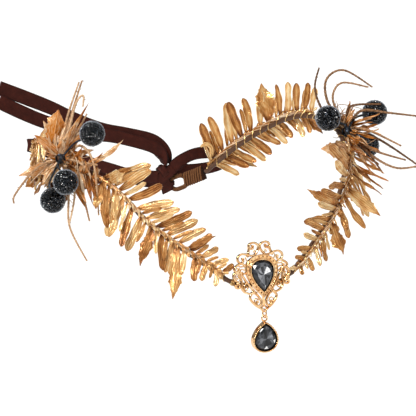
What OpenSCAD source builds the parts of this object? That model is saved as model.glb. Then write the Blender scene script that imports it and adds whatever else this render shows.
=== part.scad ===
// A woodland circlet: one wire-cored band, wound with brown tape, that dips to a pierced medallion
// in front, rises over the temples and comes back down to an eyelet on each side behind.
// The origin is the middle of the head. The front faces -Y, and +X is on the right in front view.

/* [Band] */
// Diameter of the band with its tape
band_d = 2.8; // [2.4:0.1:3]
// Half the height of the opening in each end eyelet
eyelet_hole_r = 2.4; // [2.3:0.1:2.6]
// Diameter of the twine-covered wire of an eyelet
eyelet_wire_d = 2.4; // [2:0.1:2.5]
// Length of the twine winding between the band and an eyelet
winding_len = 12; // [11:0.5:12]

/* [Foliage] */
// Leaves in each row of a front frond
front_leaves = 12; // [10:1:12]
// Leaves in each row of a back frond
back_leaves = 12; // [9:1:12]
// Length of the longest plain leaf
leaf_len = 26; // [22:1:27]
// Width of a plain leaf
leaf_w = 5; // [4:0.2:5.2]
// Thickness of a leaf at its midrib
leaf_t = 0.9; // [0.7:0.1:1]

/* [Berries] */
// Diameter of a berry
berry_d = 14; // [12:0.5:14]
// Diameter of a berry's wrapped stem
berry_stem_d = 1.4; // [1:0.1:1.5]

/* [Medallion] */
// Width of the middle stone
stone_w = 13.6; // [12:0.2:14]
// Height of the middle stone
stone_h = 18.2; // [17:0.2:18.6]
// Thickness of the pierced plate
plate_t = 1.4; // [1.2:0.1:1.6]
// Width of a scroll's wire
scroll_w = 1; // [0.9:0.1:1.2]

/* [Drop] */
// Width of the drop over its setting
drop_w = 15.6; // [14:0.2:16]
// Height of the drop over its setting
drop_h = 17.6; // [16:0.2:18]
// Wire diameter of the jump ring and the bail
ring_wire_d = 0.9; // [0.8:0.05:0.95]

/* [Lace] */
// Width of the flat lace
lace_w = 7; // [6:0.2:7]
// Thickness of the flat lace
lace_t = 1.2; // [1:0.1:1.2]

/* [Hidden] */
SIDES = ["left", "right"];
BERRY_NAMES = ["upper", "middle", "lower"];

// Air between pieces that rest on each other, and between a stone and its setting
gap = 0.3;
stone_gap = 0.15;

// The band from the front to the winding. The left arm is tucked in a little behind the ear.
// Columns: x on the right, x on the left, y, z.
STATIONS = [
    [0, 0, -97.4, -46],
    [15, 15, -97.1, -45],
    [37, 34.5, -86, -30.5],
    [58.5, 54.5, -71, -13.5],
    [74.5, 67.5, -52, 4.5],
    [84, 81, -25, 17],
    [85, 81, 6, 20],
    [80, 73, 38, 13],
    [66, 60, 66, -5],
    [50, 48, 82, -24]
];

// Where the winding points behind the band, and where the cluster sits on it
EYELET_AIM = [12, 9, -6.5];
CLUSTER_AT = 0.57;

// Colours
TAPE = "#4b2b14";
TWINE = "#6b4a2a";
LEAF_GOLD = "#cc9650";
METAL_GOLD = "#e3b06a";
BERRY_BLACK = "#22262b";
STEM_NAVY = "#1c2230";
SMOKE = "#34363b";
LACE_BROWN = "#3b1d19";

function unit(v) = v / norm(v);
function across(v, d) = unit(v - d * (v * d));
function aim(az, el) = [cos(el) * cos(az), cos(el) * sin(az), sin(el)];

// A smooth curve through the points p, where u runs from 0 at the first to len(p) - 1 at the last
function spline(p, u) =
    let (n = len(p) - 1, i = min(floor(u), n - 1), f = u - i)
    let (a = p[max(i - 1, 0)], b = p[i], c = p[i + 1], d = p[min(i + 2, n)])
    (2 * b + (c - a) * f + (2 * a - 5 * b + 4 * c - d) * f * f
        + (3 * b - a - 3 * c + d) * f * f * f) / 2;
function along(p, per) = [for (i = [0:(len(p) - 1) * per]) spline(p, i / per)];

// A point of one arm, where t runs from 0 in front to 1 at the winding. The side k is 1 or -1.
function arm(t, k) =
    let (p = spline(STATIONS, t * (len(STATIONS) - 1))) [k > 0 ? p[0] : -p[1], p[2], p[3]];
function heading(t, k) = unit(arm(min(t + 0.01, 1), k) - arm(max(t - 0.01, 0), k));
function outward(t, k) = let (p = arm(t, k)) across([p[0], p[1], 0], heading(t, k));
function upward(t, k) = k * cross(outward(t, k), heading(t, k));
function sign_of(side) = side == "left" ? -1 : 1;

// A wander between -1 and 1 that gives each leaf its own angle and length
function wander(i, k) = sin(i * 137 + k * 59) * cos(i * 71 - k * 23);

// Closed skin over rings that hold the same number of points
module skin(rings) {
    n = len(rings[0]);
    last = (len(rings) - 1) * n;
    sides = [
        for (i = [0:len(rings) - 2], j = [0:n - 1])
            let (a = i * n + j, b = i * n + (j + 1) % n)
            each [[a, b + n, b], [a, a + n, b + n]]
    ];
    caps = [for (j = [1:n - 2]) each [[0, j, j + 1], [last, last + j + 1, last + j]]];
    polyhedron([for (r = rings) each r], concat(sides, caps));
}

// Direction of travel along a list of points
function travel(p, i) = unit(p[min(i + 1, len(p) - 1)] - p[max(i - 1, 0)]);

// A round rod along points, from radius r0 to r1
module rod(points, r0, r1, n) {
    last = len(points) - 1;
    skin([
        for (i = [0:last])
            let (r = r0 + (r1 - r0) * i / last, d = travel(points, i))
            let (u = across(abs(d[2]) > 0.8 ? [1, 0.2, 0] : [0, 0, 1], d), v = cross(d, u))
            [for (j = [0:n - 1]) points[i] + r * (u * cos(360 * (j + 0.5) / n) + v * sin(360 * (j + 0.5) / n))]
    ]);
}

// The flat lace along points. Its width lies along sides, and widths may narrow it.
module strap(points, sides, widths) {
    h = lace_t / 2;
    e = h * 0.4;
    skin([
        for (i = [0:len(points) - 1])
            let (d = travel(points, i), s = across(sides[i], d), f = cross(d, s), w = widths[i] / 2)
            let (p = points[i])
            [
                p + s * w + f * e, p + s * (w - h) + f * h, p - s * (w - h) + f * h, p - s * w + f * e,
                p - s * w - f * e, p - s * (w - h) - f * h, p + s * (w - h) - f * h, p + s * w - f * e
            ]
    ]);
}

// A lace run that leaves the knot edge on and then shows one face to the front, and one that turns
// back on itself with its width upright
module flat_run(route, per) {
    points = along(route, per);
    last = len(points) - 1;
    turn = 4 * per;
    strap(
        points,
        [
            for (i = [0:last])
                let (f = min(i / turn, 1))
                cross([-0.3, -1, 0.1], travel(points, i)) * f + [0, 1, 0] * (1 - f)
        ],
        [for (p = points) lace_w]
    );
}
module upright_run(route, per) {
    points = along(route, per);
    strap(points, [for (p = points) [0, 0, 1]], [for (p = points) lace_w]);
}

// Half widths along a leaf, as shares of its widest half. Columns: place, half width.
PLAIN_LEAF = [[0, 0.2], [0.3, 0.8], [0.8, 1], [1, 0.3]];
TOOTHED_LEAF = [
    [0, 0.12], [0.14, 0.4], [0.3, 0.95], [0.36, 0.78], [0.5, 1.08],
    [0.57, 0.8], [0.7, 0.88], [0.77, 0.55], [1, 0.05]
];

// A blade from p along d with its upper face towards n: a raised midrib and drooping edges
module leaf(p, d, n, length, width, outline, curl) {
    s = unit(cross(n, d));
    up = cross(d, s);
    skin([
        for (row = outline)
            let (c = p + d * length * row[0] + up * curl * length * row[0] * row[0])
            let (w = width / 2 * row[1], t = leaf_t / 2 * (0.6 + 0.4 * row[1]))
            [c + s * w - up * w * 0.3, c + up * t, c - s * w - up * w * 0.3, c - up * t]
    ]);
}

// A leaf of a frond on the arm k at t: row is 1 above the stem and -1 below it, lean is its angle
// from the stem, lift turns it outwards, and twist turns its face forwards. The stem sits seat off
// the band.
module frond_leaf(t, k, seat, row, length, width, lean, lift, twist, outline, curl) {
    h = heading(t, k);
    o = outward(t, k);
    d = unit(sin(lean) * (row * upward(t, k) * cos(lift) + o * sin(lift)) - h * cos(lean));
    leaf(
        arm(t, k) + beside(t, k, seat), d, o * cos(twist) - h * sin(twist),
        length, width, outline, curl
    );
}
function beside(t, k, seat) =
    (band_d / 2 + gap + 1.2) * (outward(t, k) * cos(seat) + upward(t, k) * sin(seat));

// The fronds. Columns: side, tip and root on the arm, leaves in a row, longest leaf, share of it at
// the tip, share of the lower row, turn of the stem over the band, outward lift of the upper and of
// the lower row, twist, lean of the leaves at the tip and at the root, seed.
FRONDS = [
    [-1, 0.155, 0.49, front_leaves, leaf_len, 0.32, 1, 35, -5, 20, 0, 66, 58, 0],
    [1, 0.15, 0.5, front_leaves, leaf_len, 0.2, 1, 8, -15, 28, 25, 46, 66, 40],
    [-1, 0.7, 0.98, back_leaves, leaf_len * 0.85, 0.65, 0.8, 18, -42, -2, 0, 66, 60, 80],
    [1, 0.7, 0.98, back_leaves, leaf_len * 0.88, 0.65, 0.8, 50, 5, 12, 0, 74, 68, 120]
];

// Big toothed leaves wired into each frond.
// Columns: place on the arm, row, length, width, lean from the stem, lift outwards, twist.
TOOTHED = [
    [
        [0.27, -1, 32, 9, 62, 25, 0],
        [0.33, -1, 26, 7, 66, 40, 0],
        [0.25, 1, 21, 4, 62, 20, 0]
    ],
    [
        [0.31, -1, 22, 8.5, 62, 30, 50],
        [0.4, -1, 26, 8, 72, 50, 40],
        [0.4, 1, 22, 7, 75, -38, 40]
    ],
    [
        [0.93, -1, 20, 8, 66, 2, 0],
        [0.8, -1, 18, 7, 62, 2, 0]
    ],
    [
        [0.825, 1, 23, 10, 74, 14, 0],
        [0.94, -1, 22, 8, 66, 25, 0],
        [0.84, -1, 17, 7, 62, 30, 0],
        [0.74, -1, 18, 6, 60, 30, 0]
    ]
];

// A frond: its stem, and two rows of leaves that point forwards
module frond(row, toothed) {
    k = row[0];
    tip = row[1];
    span = row[2] - row[1];
    count = row[3];
    steps = 10;
    for (i = [0:steps - 1])
        hull()
            for (j = [i, i + 1])
                let (t = tip + span * j / steps)
                translate(arm(t, k) + beside(t, k, row[7])) sphere(r = 0.7 + 0.3 * j / steps, $fn = 5);
    for (i = [0:count - 1], up = [1, -1]) {
        f = (i + 0.3 - up * 0.2) / count;
        n = row[13] + i * 2 - up;
        share = (row[5] + (1 - row[5]) * sin(90 * f)) * (up > 0 ? 1 : row[6]);
        frond_leaf(
            tip + span * f, k, row[7], up, row[4] * share * (1 + 0.1 * wander(n, 1)),
            leaf_w * (0.45 + 0.55 * share) * (1 + 0.12 * wander(n, 2)),
            row[11] + (row[12] - row[11]) * f + 7 * wander(n, 3),
            (up > 0 ? row[8] : row[9]) + 10 * wander(n, 4), row[10], PLAIN_LEAF, 0.1 * wander(n, 5)
        );
    }
    for (b = toothed) frond_leaf(b[0], k, row[7], b[1], b[2], b[3], b[4], b[5], b[6], TOOTHED_LEAF, 0.06);
}

// Leaves of a cluster. Columns: foot seen from the hub, azimuth, elevation, length, width, toothed.
CLUSTER_LEAVES_LEFT = [
    [[-5, 4, 7], 12, 69, 19, 7, 1],
    [[0, 0, 0], 161, -26, 26, 7, 1],
    [[0, 0, 0], -165, -36, 20, 8, 0],
    [[0, 0, 0], -160, -48, 20, 6, 0],
    [[9, -23, 1], -29, 40, 22, 3, 1],
    [[0, 0, 0], -33, 16, 19, 5, 0],
    [[0, 0, 0], -45, 58, 20, 5, 0],
    [[0.3, 0, 0.2], -67, -63, 32, 5, 0],
    [[0, 0, 0], -66, -45, 30, 5, 0],
    [[-3, 1, 6], -28, 50, 24, 4.5, 0],
    [[-2, 1, 5], 20, 62, 22, 4.5, 0],
    [[-4, 2, 3], 100, 58, 20, 5, 0],
    [[2, 0, 8], -70, 55, 16, 6, 0],
    [[2, -2, 0], -72, 12, 15, 6, 0],
    [[-2, 0, 4], 150, 40, 17, 6, 0]
];
CLUSTER_LEAVES_RIGHT = [
    [[2, -8, -10], 172, 2, 20, 12, 1],
    [[1, -8, -16], 179, -22, 10, 5, 0],
    [[4, -8, -11], -52, -39, 14, 6, 0],
    [[1, -8, -18], -32, -28, 22, 5, 0],
    [[3, -1, 0], -24, 6, 15, 4, 0],
    [[4, -6, -6], -48, -19, 15, 7, 1],
    [[2, -2, 3], -30, 25, 18, 4.5, 0],
    [[4, -2, -4], -35, 22, 15, 5, 0],
    [[2, -8, -6], -60, -60, 20, 5, 0],
    [[0, -6, -6], -80, -20, 15, 6, 0],
    [[1, -2, -6], -110, -50, 16, 6, 0],
    [[2, 2, 4], 60, 40, 14, 5, 0],
    [[3, -6, -10], -20, -35, 16, 5, 0]
];

// Raffia strands of a cluster. Each row holds the points that one strand passes, seen from the hub.
RAFFIA_LEFT = [
    [[6, 1, 24], [14, 4, 43]],
    [[5, 5, 21], [15, 10, 41]],
    [[8, 0, 30], [12, -2, 36], [11, -4, 30]],
    [[7, -5, 16], [13, -5, 26]],
    [[7, -9, 9], [9, -23, 1], [11, -25, -28]],
    [[4, -12, 1], [8, -19, -5], [10, -22, -18]],
    [[-14, 3, -4], [-27, 4, -18], [-29, 2, -23]],
    [[1, -6, -18], [-1, -12, -36], [6, -20, -55]],
    [[3, -10, -16], [-3, -16, -34]],
    [[6, -10, -13], [9, -17, -33]]
];
RAFFIA_RIGHT = [
    [[-10, 9, 10], [-12, 16, 22], [-8, 19, 33]],
    [[-8, 8, 16], [-7, 11, 28], [2, 7, 33], [15, -3, 24]],
    [[-7, 3, 18], [-2, 2, 27], [11, -6, 25]],
    [[1, -3, 14], [14, -16, 17]],
    [[10, 1, 10], [26, -3, 8], [42, -11, 6]],
    [[9, -8, 1], [24, -22, -7]],
    [[16, -9, -5], [37, -22, -21]],
    [[9, -16, -9], [24, -28, -14]],
    [[10, -12, -13], [22, -20, -20], [36, -24, -19]],
    [[7, -12, -10], [13, -21, -22]]
];

// Berries, and the bend of each one's stem. Columns: middle of the berry, bend.
BERRIES_LEFT = [
    [[-76, -38, 35], [-85, -33, 29]],
    [[-91, -35, 8], [-94, -31, 17]],
    [[-94, -24, -4.5], [-100, -33, 8]]
];
BERRIES_RIGHT = [
    [[76, -26, 27], [85, -30, 23]],
    [[112, -12, 24], [94, -24, 25]],
    [[106, -14, 6], [97, -33, 14.5]]
];
STEM_KNOTS = [[-91, -28, 20], [86, -30, 19]];

function hub(k) = arm(CLUSTER_AT, k) + outward(CLUSTER_AT, k) * (k > 0 ? 4.9 : 5.5);

// One cluster: its wound hub, and the leaves and raffia that spring from it
module cluster(k, leaves, raffia) {
    h = hub(k);
    color(LEAF_GOLD) {
        for (i = [-4:4])
            hull()
                for (j = [i, i + 1])
                    translate(h + heading(CLUSTER_AT, k) * (j - 0.5) * 1.1)
                        sphere(r = 3.18 - 0.08 * pow(j - 0.5, 2), $fn = 6);
        for (row = leaves) {
            if (norm(row[0]) > 1) rod([h + row[0] * 0.3, h + row[0] * 1.05], 0.8, 0.6, 3);
            leaf(
                h + row[0], aim(row[1], row[2]), unit([h[0], h[1] - 40, 30]),
                row[3], row[4], row[5] ? TOOTHED_LEAF : PLAIN_LEAF, 0.08
            );
        }
        for (row = raffia)
            rod([for (p = along(concat([row[0] * 0.15], row), 2)) h + p], 0.8, 0.4, 3);
    }
}

// The stems of one side's berries, from the bead of wire where they are twisted together
module berry_stems(knot, berries) {
    color(STEM_NAVY) {
        translate(knot) sphere(r = 1.5, $fn = 8);
        for (b = berries) {
            away = unit(b[1] - b[0]);
            rod(
                along([knot, b[1], b[0] + away * (berry_d / 2 + gap + 0.3)], 3),
                berry_stem_d / 2, berry_stem_d / 2, 5
            );
        }
    }
}

module berry(at) color(BERRY_BLACK) translate(at) sphere(d = berry_d, $fn = 48);

module band() {
    steps = 22;
    whole = concat([for (i = [steps:-1:1]) arm(i / steps, -1)], [for (i = [0:steps]) arm(i / steps, 1)]);
    color(TAPE) rod(whole, band_d / 2, band_d / 2, 8);
}

// Moves its children so that z points along d and x along the part of v that crosses it
module place(p, d, v) {
    x = across(v, d);
    y = cross(d, x);
    multmatrix([
        [x[0], y[0], d[0], p[0]],
        [x[1], y[1], d[1], p[1]],
        [x[2], y[2], d[2], p[2]],
        [0, 0, 0, 1]
    ])
        children();
}

// The winding and the eyelet at the end of the arm k: a loop of wire with two straight legs
LEG = 3;
end_gap = 0.95;
loop_r = eyelet_hole_r + eyelet_wire_d / 2;
function eyelet_dir(k) = unit([-k * EYELET_AIM[0], EYELET_AIM[1], EYELET_AIM[2]]);
function eyelet_axis(k) = across(outward(1, k), eyelet_dir(k));
function eyelet_bend(k) = arm(1, k) + eyelet_dir(k) * (end_gap + winding_len + eyelet_hole_r + 0.4 + LEG);
module eyelet(k) {
    d = eyelet_dir(k);
    color(TWINE) place(arm(1, k) + d * end_gap, d, cross(d, eyelet_axis(k))) {
        linear_extrude(winding_len) {
            square([4.4, 3.6], center = true);
            for (x = [-2.2, 2.2]) translate([x, 0]) circle(d = 3.6, $fn = 32);
        }
        translate([0, 0, winding_len + eyelet_hole_r + 0.4]) {
            for (x = [-loop_r, loop_r])
                translate([x, 0, -0.01]) cylinder(d = eyelet_wire_d, h = LEG + 0.02, $fn = 24);
            for (z = [0, LEG])
                translate([0, 0, z]) rotate([z > 0 ? 90 : -90, 0, 0])
                    rotate_extrude(angle = 180, $fn = 48)
                        translate([loop_r, 0]) circle(d = eyelet_wire_d, $fn = 24);
        }
    }
}

// A pear outline with its point up, in n points, where m makes the point longer
function pear(w, h, m, n) =
    let (c = -m / (2 + m), peak = sqrt(1 - c * c) * pow((1 - c) / 2, m / 2))
    [
        for (i = [0:n - 1])
            let (a = 360 * i / n)
            [-w / 2 * sin(a) * pow(abs(sin(a / 2)), m) / peak, h / 2 * cos(a)]
    ];
function turned(p) = [for (q = p) -q];
function raised(p, z) = [for (q = p) [q[0], q[1], z]];

// Scrolls of the medallion's right half: the points that each one passes, x and y from the middle
// of the stone
SCROLLS = [
    [[0.2, 16.2], [0.7, 17.5], [2, 18.6], [4, 19], [5.9, 18.2], [6.3, 16.6], [5.1, 15.6], [3.8, 16.1], [4, 17.1]],
    [[0.4, 16.8], [1, 14.6], [3.1, 12.1], [6, 12], [9, 13], [11.7, 13.1], [13.6, 11.6], [13.6, 9.4], [12, 8.2], [10.5, 9.1], [10.7, 10.5]],
    [[6.2, 16.4], [6.5, 14.8], [7.3, 12.6]],
    [[8.8, 5.8], [10.6, 7.4], [12.4, 8], [14.4, 7.2], [16, 5.9], [16.1, 4.3], [14.8, 3.5], [13.6, 4.3], [14, 5.2]],
    [[14.6, 3.6], [16.4, 3], [17.2, 1.5], [16.6, -0.6], [15, -2.3], [13.9, -4], [14.4, -5.4], [15.9, -5.4], [16.4, -4.2]],
    [[13.7, 4.6], [12.6, 2.6], [10.8, -0.5], [8.6, -3.9], [6.3, -7], [4.2, -9.8]],
    [[14.4, 3.5], [13.6, 1.2], [12.6, -1.6], [12.8, -4.2], [12.2, -6.8], [10.4, -8.6], [7.8, -9.3], [5.6, -8.2]],
    [[9.3, 2.4], [10.6, 2.2], [12.2, 1.9]],
    [[5.2, -8.8], [7.3, -9.9], [8.2, -11.6], [7.2, -13.8], [5.3, -15.9], [3.2, -17.5], [1.6, -18.2]],
    [[4.4, -9.6], [2.8, -11.6], [1.6, -14], [2, -16.2], [3.6, -16.6], [4.6, -15.3], [3.9, -14.2]]
];
HOLES = 20;

// One scroll as a flat band of wire with round ends
module scroll(route) {
    points = along([for (p = route) [p[0], p[1], 0]], 3);
    last = len(points) - 1;
    offsets = [for (i = [0:last]) let (d = travel(points, i)) [-d[1], d[0]] * scroll_w / 2];
    polygon([
        for (i = [0:last]) [points[i][0], points[i][1]] + offsets[i],
        for (i = [last:-1:0]) [points[i][0], points[i][1]] - offsets[i]
    ]);
    translate(points[last]) circle(r = scroll_w * 0.75, $fn = 10);
}

module stone_frame() translate([0, -101, -41]) rotate([78, 0, 0]) children();

PLATE_TOP = -1;
module medallion() {
    rim_w = stone_w + 5.9;
    rim_h = stone_h + 5.6;
    back = PLATE_TOP - plate_t;
    eye = [0, -18.4, PLATE_TOP - 0.7];
    color(METAL_GOLD) stone_frame() {
        difference() {
            union() {
                translate([0, 0, back])
                    linear_extrude(plate_t)
                        offset(delta = 0.01)
                            difference() {
                                union() {
                                    polygon(turned(pear(rim_w, rim_h, 1, 40)));
                                    for (x = [1, -1]) scale([x, 1]) for (r = SCROLLS) scroll(r);
                                    translate([-0.55, -17]) square([1.1, 6]);
                                }
                                for (p = pear(stone_w + 3.4, stone_h + 3.2, 1, HOLES))
                                    translate(-p) circle(r = 0.45, $fn = 8);
                            }
                translate([0, 0, back + 0.4])
                    linear_extrude(2.8) polygon(turned(pear(stone_w + 1.6, stone_h + 1.7, 1, 40)));
            }
            translate([0, 0, PLATE_TOP - 0.7])
                linear_extrude(6)
                    polygon(turned(pear(stone_w + 2 * stone_gap, stone_h + 2 * stone_gap, 1, 40)));
            translate(eye) cylinder(r = 1.2, h = 9, center = true, $fn = 32);
        }
        translate(eye) rotate_extrude($fn = 32) translate([1.6, 0]) circle(r = 0.5, $fn = 24);
    }
}

// A cut stone. Columns: share of the outline, height over the girdle.
module cut_stone(w, h, m, n, rows) {
    color(SMOKE) skin([for (r = rows) raised(pear(w * r[0], h * r[0], m, n), r[1])]);
}

module middle_stone() {
    stone_frame()
        rotate([0, 0, 180])
            cut_stone(stone_w, stone_h, 1, 20, [[0.55, -1.4], [1, -0.1], [1, 0.2], [0.82, 1.7], [0.6, 2.5]]);
}

// The pendant hangs in line with the eye: link_at is the jump ring's middle and drop_at the drop's.
// The drop's body sits a little in front of its bail, so that it hangs plumb.
link_at = [0, -103.5, -62];
drop_at = [0, -103.95, -75.4];
drop_face = 1.6;

module jump_ring() {
    color(METAL_GOLD) translate(link_at) rotate([0, 90, 0])
        rotate_extrude($fn = 40) translate([2.4, 0]) circle(d = ring_wire_d, $fn = 20);
}

module drop_setting() {
    color(METAL_GOLD) {
        translate(drop_at) rotate([90, 0, 0]) difference() {
            union() {
                translate([0, 0, -1.6]) linear_extrude(1.6 + drop_face) polygon(pear(drop_w, drop_h, 0.6, 40));
                translate([0, 0, -2.3]) linear_extrude(1) polygon(pear(drop_w - 2, drop_h - 2, 0.6, 40));
            }
            translate([0, -0.1, -1.3])
                linear_extrude(6)
                    polygon(pear(drop_w - 1.8 + 2 * stone_gap, drop_h - 1.8 + 2 * stone_gap, 0.6, 40));
        }
        translate([0, link_at[1], -66.6]) sphere(r = 0.85, $fn = 24);
        translate([0, link_at[1], -64.8]) rotate([90, 0, 0])
            rotate_extrude($fn = 40) translate([1.65, 0]) circle(d = ring_wire_d, $fn = 20);
    }
}

module drop_stone() {
    translate(drop_at + [0, 0, -0.1]) rotate([90, 0, 0])
        cut_stone(
            drop_w - 1.8, drop_h - 1.8, 0.6, 20,
            [[0.6, -1], [1, 0.4], [1, 0.7], [0.84, 2], [0.62, 2.6]]
        );
}

// The lace. It is knotted behind the head, below the eyelets' line, and tied back to both eyelets.
KNOT = [28, 93, -24];

// How far a tie has widened and turned upright, i steps from where it rounds the wire
function lace_turn(i) = min(max(abs(i) - 5, 0) / 3, 1);

// From the knot through an eyelet, round its wire and back
module lace_tie(k, foot, bends) {
    o = eyelet_axis(k);
    e = eyelet_bend(k);
    r = across((len(bends) > 0 ? bends[len(bends) - 1] : foot) - e, o);
    w = e + r * loop_r;
    far = eyelet_wire_d / 2 + lace_t * 0.85;
    half = [0, 0.9, 0];
    route = concat(
        [foot - half],
        [for (b = bends) b - half * 1.3],
        [w - far * o + 1.6 * r],
        [for (a = [-90:45:90]) w + far * (o * sin(a) - r * cos(a))],
        [w + far * o + 1.6 * r],
        [for (i = [len(bends) - 1:-1:0]) bends[i] + half * 1.3],
        [foot + half]
    );
    points = along(route, 2);
    mid = (len(points) - 1) / 2;
    q = o[0] * r[1] - o[1] * r[0] > 0 ? cross(o, r) : cross(r, o);
    color(LACE_BROWN) strap(
        points,
        [for (i = [0:2 * mid]) let (f = lace_turn(i - mid)) q * (1 - f) + [0, 0, f]],
        [for (i = [0:2 * mid]) 2.6 + (lace_w - 2.6) * lace_turn(i - mid)]
    );
}

module lace_knot() {
    color(LACE_BROWN) hull() {
        translate(KNOT + [-1.6, 0.2, -1.2]) sphere(r = 2.6, $fn = 10);
        translate(KNOT + [1.6, -0.2, 1.2]) sphere(r = 2.6, $fn = 10);
        translate(KNOT + [1.4, 0.5, -1.4]) sphere(r = 2.4, $fn = 10);
        translate(KNOT + [-1.4, -0.5, 1.2]) sphere(r = 2.4, $fn = 10);
    }
}

LOOP_LEFT = [
    [23.3, 90.4, -26], [8, 88.6, -23.5], [-6, 88.6, -18.5], [-24, 89, -11.5], [-45, 90, -1], [-54, 91.5, 0],
    [-55, 94, -1], [-45, 96.5, -5], [-22, 97, -15.5], [-4, 97, -21.5], [12, 97, -26], [23.3, 95.6, -27]
];
LOOP_RIGHT = [
    [33.4, 90.4, -21.2], [38, 90, -17.9], [45, 90, -15.2], [52, 90, -14.5], [60, 90.5, -15.5], [66, 92, -19],
    [66.5, 94.5, -22.5], [60, 96, -25], [50, 96, -25.5], [40, 96, -25], [33.4, 95.4, -24]
];
TAIL_UPPER = [
    [32.2, 95.5, -19.6], [32.2, 95.5, -16.5], [30.5, 95.4, -12.5], [26.5, 95.2, -8], [20, 95, -4.2],
    [6, 95, 0], [-9, 95, 4], [-25, 95, 11], [-40, 95, 19], [-55, 95, 26], [-73, 95, 34]
];
TAIL_LOWER = [
    [28.8, 93, -19.6], [28.4, 92.6, -17], [26.8, 92, -13.5], [24, 91.4, -10.2], [19, 91, -7.5],
    [8, 91, -3.5], [-5, 91, 0.5], [-23, 91, 4], [-45, 91, 12], [-60, 91, 19], [-75, 91, 27]
];
TIE_LEFT = [[18, 93, -28.4], [4, 93, -24.5], [-10, 93, -23], [-24, 94, -27]];

for (s = SIDES) {
    k = sign_of(s);
    left = k < 0;
    eyelet(k);
    color(LEAF_GOLD) frond(FRONDS[left ? 0 : 1], TOOTHED[left ? 0 : 1]);
    color(LEAF_GOLD) frond(FRONDS[left ? 2 : 3], TOOTHED[left ? 2 : 3]);
    cluster(k, left ? CLUSTER_LEAVES_LEFT : CLUSTER_LEAVES_RIGHT, left ? RAFFIA_LEFT : RAFFIA_RIGHT);
    berry_stems(STEM_KNOTS[left ? 0 : 1], left ? BERRIES_LEFT : BERRIES_RIGHT);
    for (i = [0:2])
        berry((left ? BERRIES_LEFT : BERRIES_RIGHT)[i][0]);
}
band();
medallion();
middle_stone();
jump_ring();
drop_setting();
drop_stone();
lace_tie(-1, [23.3, 93, -28.5], TIE_LEFT);  // lace_tie_left
lace_tie(1, [28.7, 93, -31.8], []);  // lace_tie_right
lace_knot();
color(LACE_BROWN) upright_run(LOOP_LEFT, 2);  // lace_loop_left
color(LACE_BROWN) upright_run(LOOP_RIGHT, 2);  // lace_loop_right
color(LACE_BROWN) flat_run(TAIL_UPPER, 2);  // lace_tail_upper
color(LACE_BROWN) flat_run(TAIL_LOWER, 2);  // lace_tail_lower
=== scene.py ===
import bmesh
import bpy
import itertools
import numpy as np
from math import cos, pi, radians, sin, sqrt, tan
from mathutils import Matrix, Vector


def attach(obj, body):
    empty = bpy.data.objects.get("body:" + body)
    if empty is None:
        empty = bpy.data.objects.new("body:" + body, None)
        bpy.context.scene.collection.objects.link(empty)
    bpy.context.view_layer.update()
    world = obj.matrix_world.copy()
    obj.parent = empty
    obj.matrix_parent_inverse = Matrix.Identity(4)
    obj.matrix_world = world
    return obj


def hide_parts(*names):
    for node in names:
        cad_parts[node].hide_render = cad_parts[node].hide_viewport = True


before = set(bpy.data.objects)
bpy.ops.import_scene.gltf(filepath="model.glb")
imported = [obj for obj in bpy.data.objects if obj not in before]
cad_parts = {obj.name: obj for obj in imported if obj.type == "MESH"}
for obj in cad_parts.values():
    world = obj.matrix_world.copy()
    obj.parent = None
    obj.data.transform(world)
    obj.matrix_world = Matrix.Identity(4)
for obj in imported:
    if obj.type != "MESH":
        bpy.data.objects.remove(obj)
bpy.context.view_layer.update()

# Studio. The crown is held up as a head would hold it, over a pale floor under wide soft lights. It is
# seen from its front right and a little above, from far off, as in the photo.
MM = 0.001
AZIMUTH = -25
ELEVATION = 13
PHOTO_SIDE = 416
PIXEL = 0.56 * MM
STONE_AT = Vector((0, -101, -41))
STONE_PX = (262.6, 275.9)
CAMERA_OFF = 9
FLOOR_Z = -0.5
FLOOR_HALF = 8


def towards(azimuth, elevation):
    """The direction from the crown to something that is seen from it at these angles."""
    az, el = radians(azimuth), radians(elevation)
    return Vector((sin(az) * cos(el), -cos(az) * cos(el), sin(el)))


view_back = towards(AZIMUTH, ELEVATION)
view_right = towards(AZIMUTH + 90, 0)
view_up = view_back.cross(view_right)
off_middle = view_right * (PHOTO_SIDE / 2 - STONE_PX[0]) + view_up * (STONE_PX[1] - PHOTO_SIDE / 2)
frame_middle = STONE_AT * MM + off_middle * PIXEL


def object_of(data, name):
    made = bpy.data.objects.new(name, data)
    bpy.context.scene.collection.objects.link(made)
    return made


camera_data = bpy.data.cameras.new("studio_camera")
camera_data.lens = camera_data.sensor_width * CAMERA_OFF / (PHOTO_SIDE * PIXEL)
camera_data.clip_end = 40
camera = object_of(camera_data, "studio_camera")
camera.matrix_world = Matrix.Translation(frame_middle + view_back * CAMERA_OFF) @ Matrix(
    (view_right, view_up, view_back)
).transposed().to_4x4()
bpy.context.scene.camera = camera


def linear(code):
    """A colour written as #rrggbb, as the shader wants it."""
    values = [int(code[i:i + 2], 16) / 255 for i in (1, 3, 5)]
    return (*[((c + 0.055) / 1.055) ** 2.4 if c > 0.04045 else c / 12.92 for c in values], 1)


def fed(tree, socket, value):
    """Sets a socket to a value or a colour code, or links another node's output to it."""
    if isinstance(value, bpy.types.NodeSocket):
        tree.links.new(value, socket)
    else:
        socket.default_value = linear(value) if isinstance(value, str) and value[0] == "#" else value


def node(tree, kind, inputs=None, **settings):
    """A node with its settings, and its inputs by name or number."""
    made = tree.nodes.new(kind)
    for name, value in settings.items():
        setattr(made, name, value)
    for name, value in (inputs or {}).items():
        fed(tree, made.inputs[name], value)
    return made


def new_finish(name, color, roughness, **more):
    """A material with its node tree and its shader. More names sockets with _ for a space."""
    material = bpy.data.materials.new(name)
    material.use_nodes = True
    shader = material.node_tree.nodes["Principled BSDF"]
    for key, value in {"Base_Color": color, "Roughness": roughness, **more}.items():
        fed(material.node_tree, shader.inputs[key.replace("_", " ")], value)
    return material, material.node_tree, shader


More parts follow.
